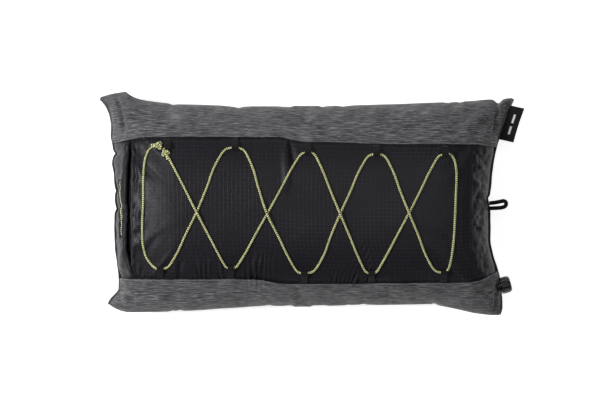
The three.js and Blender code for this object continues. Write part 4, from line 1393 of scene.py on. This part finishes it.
def valve():
    cap = [(r, CAP_BASE + h) for r, h in CAP_EDGE]
    cap += [(CAP_RADIUS, h) for h in np.linspace(CAP_BASE + 2.2, CAP_END - CAP_ROUND - 0.4, 6)]
    for turn in np.linspace(0, math.pi / 2, 9):
        inward, down = CAP_INSET * (1 - math.cos(turn)), CAP_ROUND * (1 - math.sin(turn))
        cap.append((CAP_RADIUS - inward, CAP_END - down))
    cap += [(r, CAP_END - h) for r, h in CAP_TOP] + [(r, CAP_BASE + h) for r, h in CAP_STEPS]
    grow("valve_grip", revolve(cap, 160, cap_radius), PLASTIC, body="valve_cap", stands_for=("valve_cap",))
    grow("valve_collar_ring", revolve(COLLAR, 72), PLASTIC, stands_for=("valve_collar",))
    dress("valve_body", PLASTIC)
    dress("valve_plug", PLASTIC)
    dress("valve_seal", SEAL)


valve()


# ---- bladder and foam

# Half the thickness that a core keeps at its rim.
CORE_GAP = 0.4


def rim_spacing(count):
    """Values from -1 to 1, closer together towards both."""
    return np.sin(np.linspace(-1, 1, count) * math.pi / 2)


def core(name, depth, surface, stands_for):
    """A closed body inside the cover, at a depth below its outer surface."""
    u, v = np.meshgrid(rim_spacing(72), rim_spacing(40))
    shrink = np.array((1 - depth / 224, 1 - depth / WAIST_WIDTH))
    xy = plan(u * 0.97, v * 0.95) * shrink
    c = crown(u, v)
    wave = 0.5 * waves(xy[..., 0], xy[..., 1], 26, 91) * c
    top = SEAM_Z + CORE_GAP + (CROWN - depth) * c + wave
    low = SEAM_Z - CORE_GAP - (SEAM_Z - depth) * np.minimum(1, c / REST_SHARE)
    grow(name, closed(at_height(xy, top), at_height(xy, low), xy), surface, stands_for=stands_for)


core("bladder", 11.0, SKIN, ("bladder_back_skin", "bladder_face_skin"))
core("foam_block", 13.5, FOAM, ("foam_core",))


# ---- stage

# The point the camera looks at in millimetres, and its height above it in metres.
CAMERA_FOCUS, CAMERA_HEIGHT = np.array((-2.8, 6.6, 60)), 5.0
# What the lamps are aimed at, in metres.
LAMP_TARGET = Vector((0, 0, 0.05))


def stage():
    """The floor, the surroundings and two lamps."""
    floor_mesh = bpy.data.meshes.new("floor")
    floor_mesh.from_pydata([(-4, -4, 0), (4, -4, 0), (4, 4, 0), (-4, 4, 0)], [], [(0, 1, 2, 3)])
    white = Surface("floor", 1, Base_Color=(0.93, 0.93, 0.93, 1), Emission_Color=(1, 1, 1, 1),
                    Emission_Strength=0.7)
    floor_mesh.materials.append(white.material)
    put("floor", floor_mesh)

    # bright walls all round, dimmer beyond both ends and beyond the lower edge, under a darker ceiling
    world = bpy.data.worlds.new("studio")
    world.use_nodes = True
    bpy.context.scene.world = world
    sky = Tree(world.node_tree)
    x, y, z = sky.parts(sky.place("Generated"))
    walls = sky.times(sky.remap(z, 0.25, 0.8, 1.5, 0.2), sky.remap(y, -0.8, 0.8, 0.45, 0.97))
    ends = sky.remap(sky.math("ABSOLUTE", x), 0.1, 0.6, 1.0, 0.17)
    backdrop = sky.tree.nodes["Background"]
    sky.plug(sky.times(walls, ends), backdrop, "Strength")
    sky.plug((1, 1, 1, 1), backdrop, "Color")

    def lamp(name, place, size, power):
        """A round lamp aimed at the pillow."""
        data = bpy.data.lights.new(name, "AREA")
        data.shape = "DISK"
        data.size = size
        data.energy = power
        ob = put(name, data)
        ob.location = place
        ob.rotation_euler = (LAMP_TARGET - Vector(place)).to_track_quat("-Z", "Y").to_euler()

    lamp("key", (-1.25, 0.05, 1.3), 0.5, 27)
    lamp("fill", (0.5, 0.2, 1.7), 1.2, 6)


def camera():
    """Looks straight down from CAMERA_HEIGHT above the middle of the pillow's crown."""
    data = bpy.data.cameras.new("camera")
    data.lens = 250
    data.sensor_width = 36
    data.clip_end = 20
    ob = put("camera", data)
    ob.location = CAMERA_FOCUS * MM + (0, 0, CAMERA_HEIGHT)
    bpy.context.scene.camera = ob


stage()
camera()
view = bpy.context.scene.view_settings
view.view_transform = "Standard"
view.look = "None"
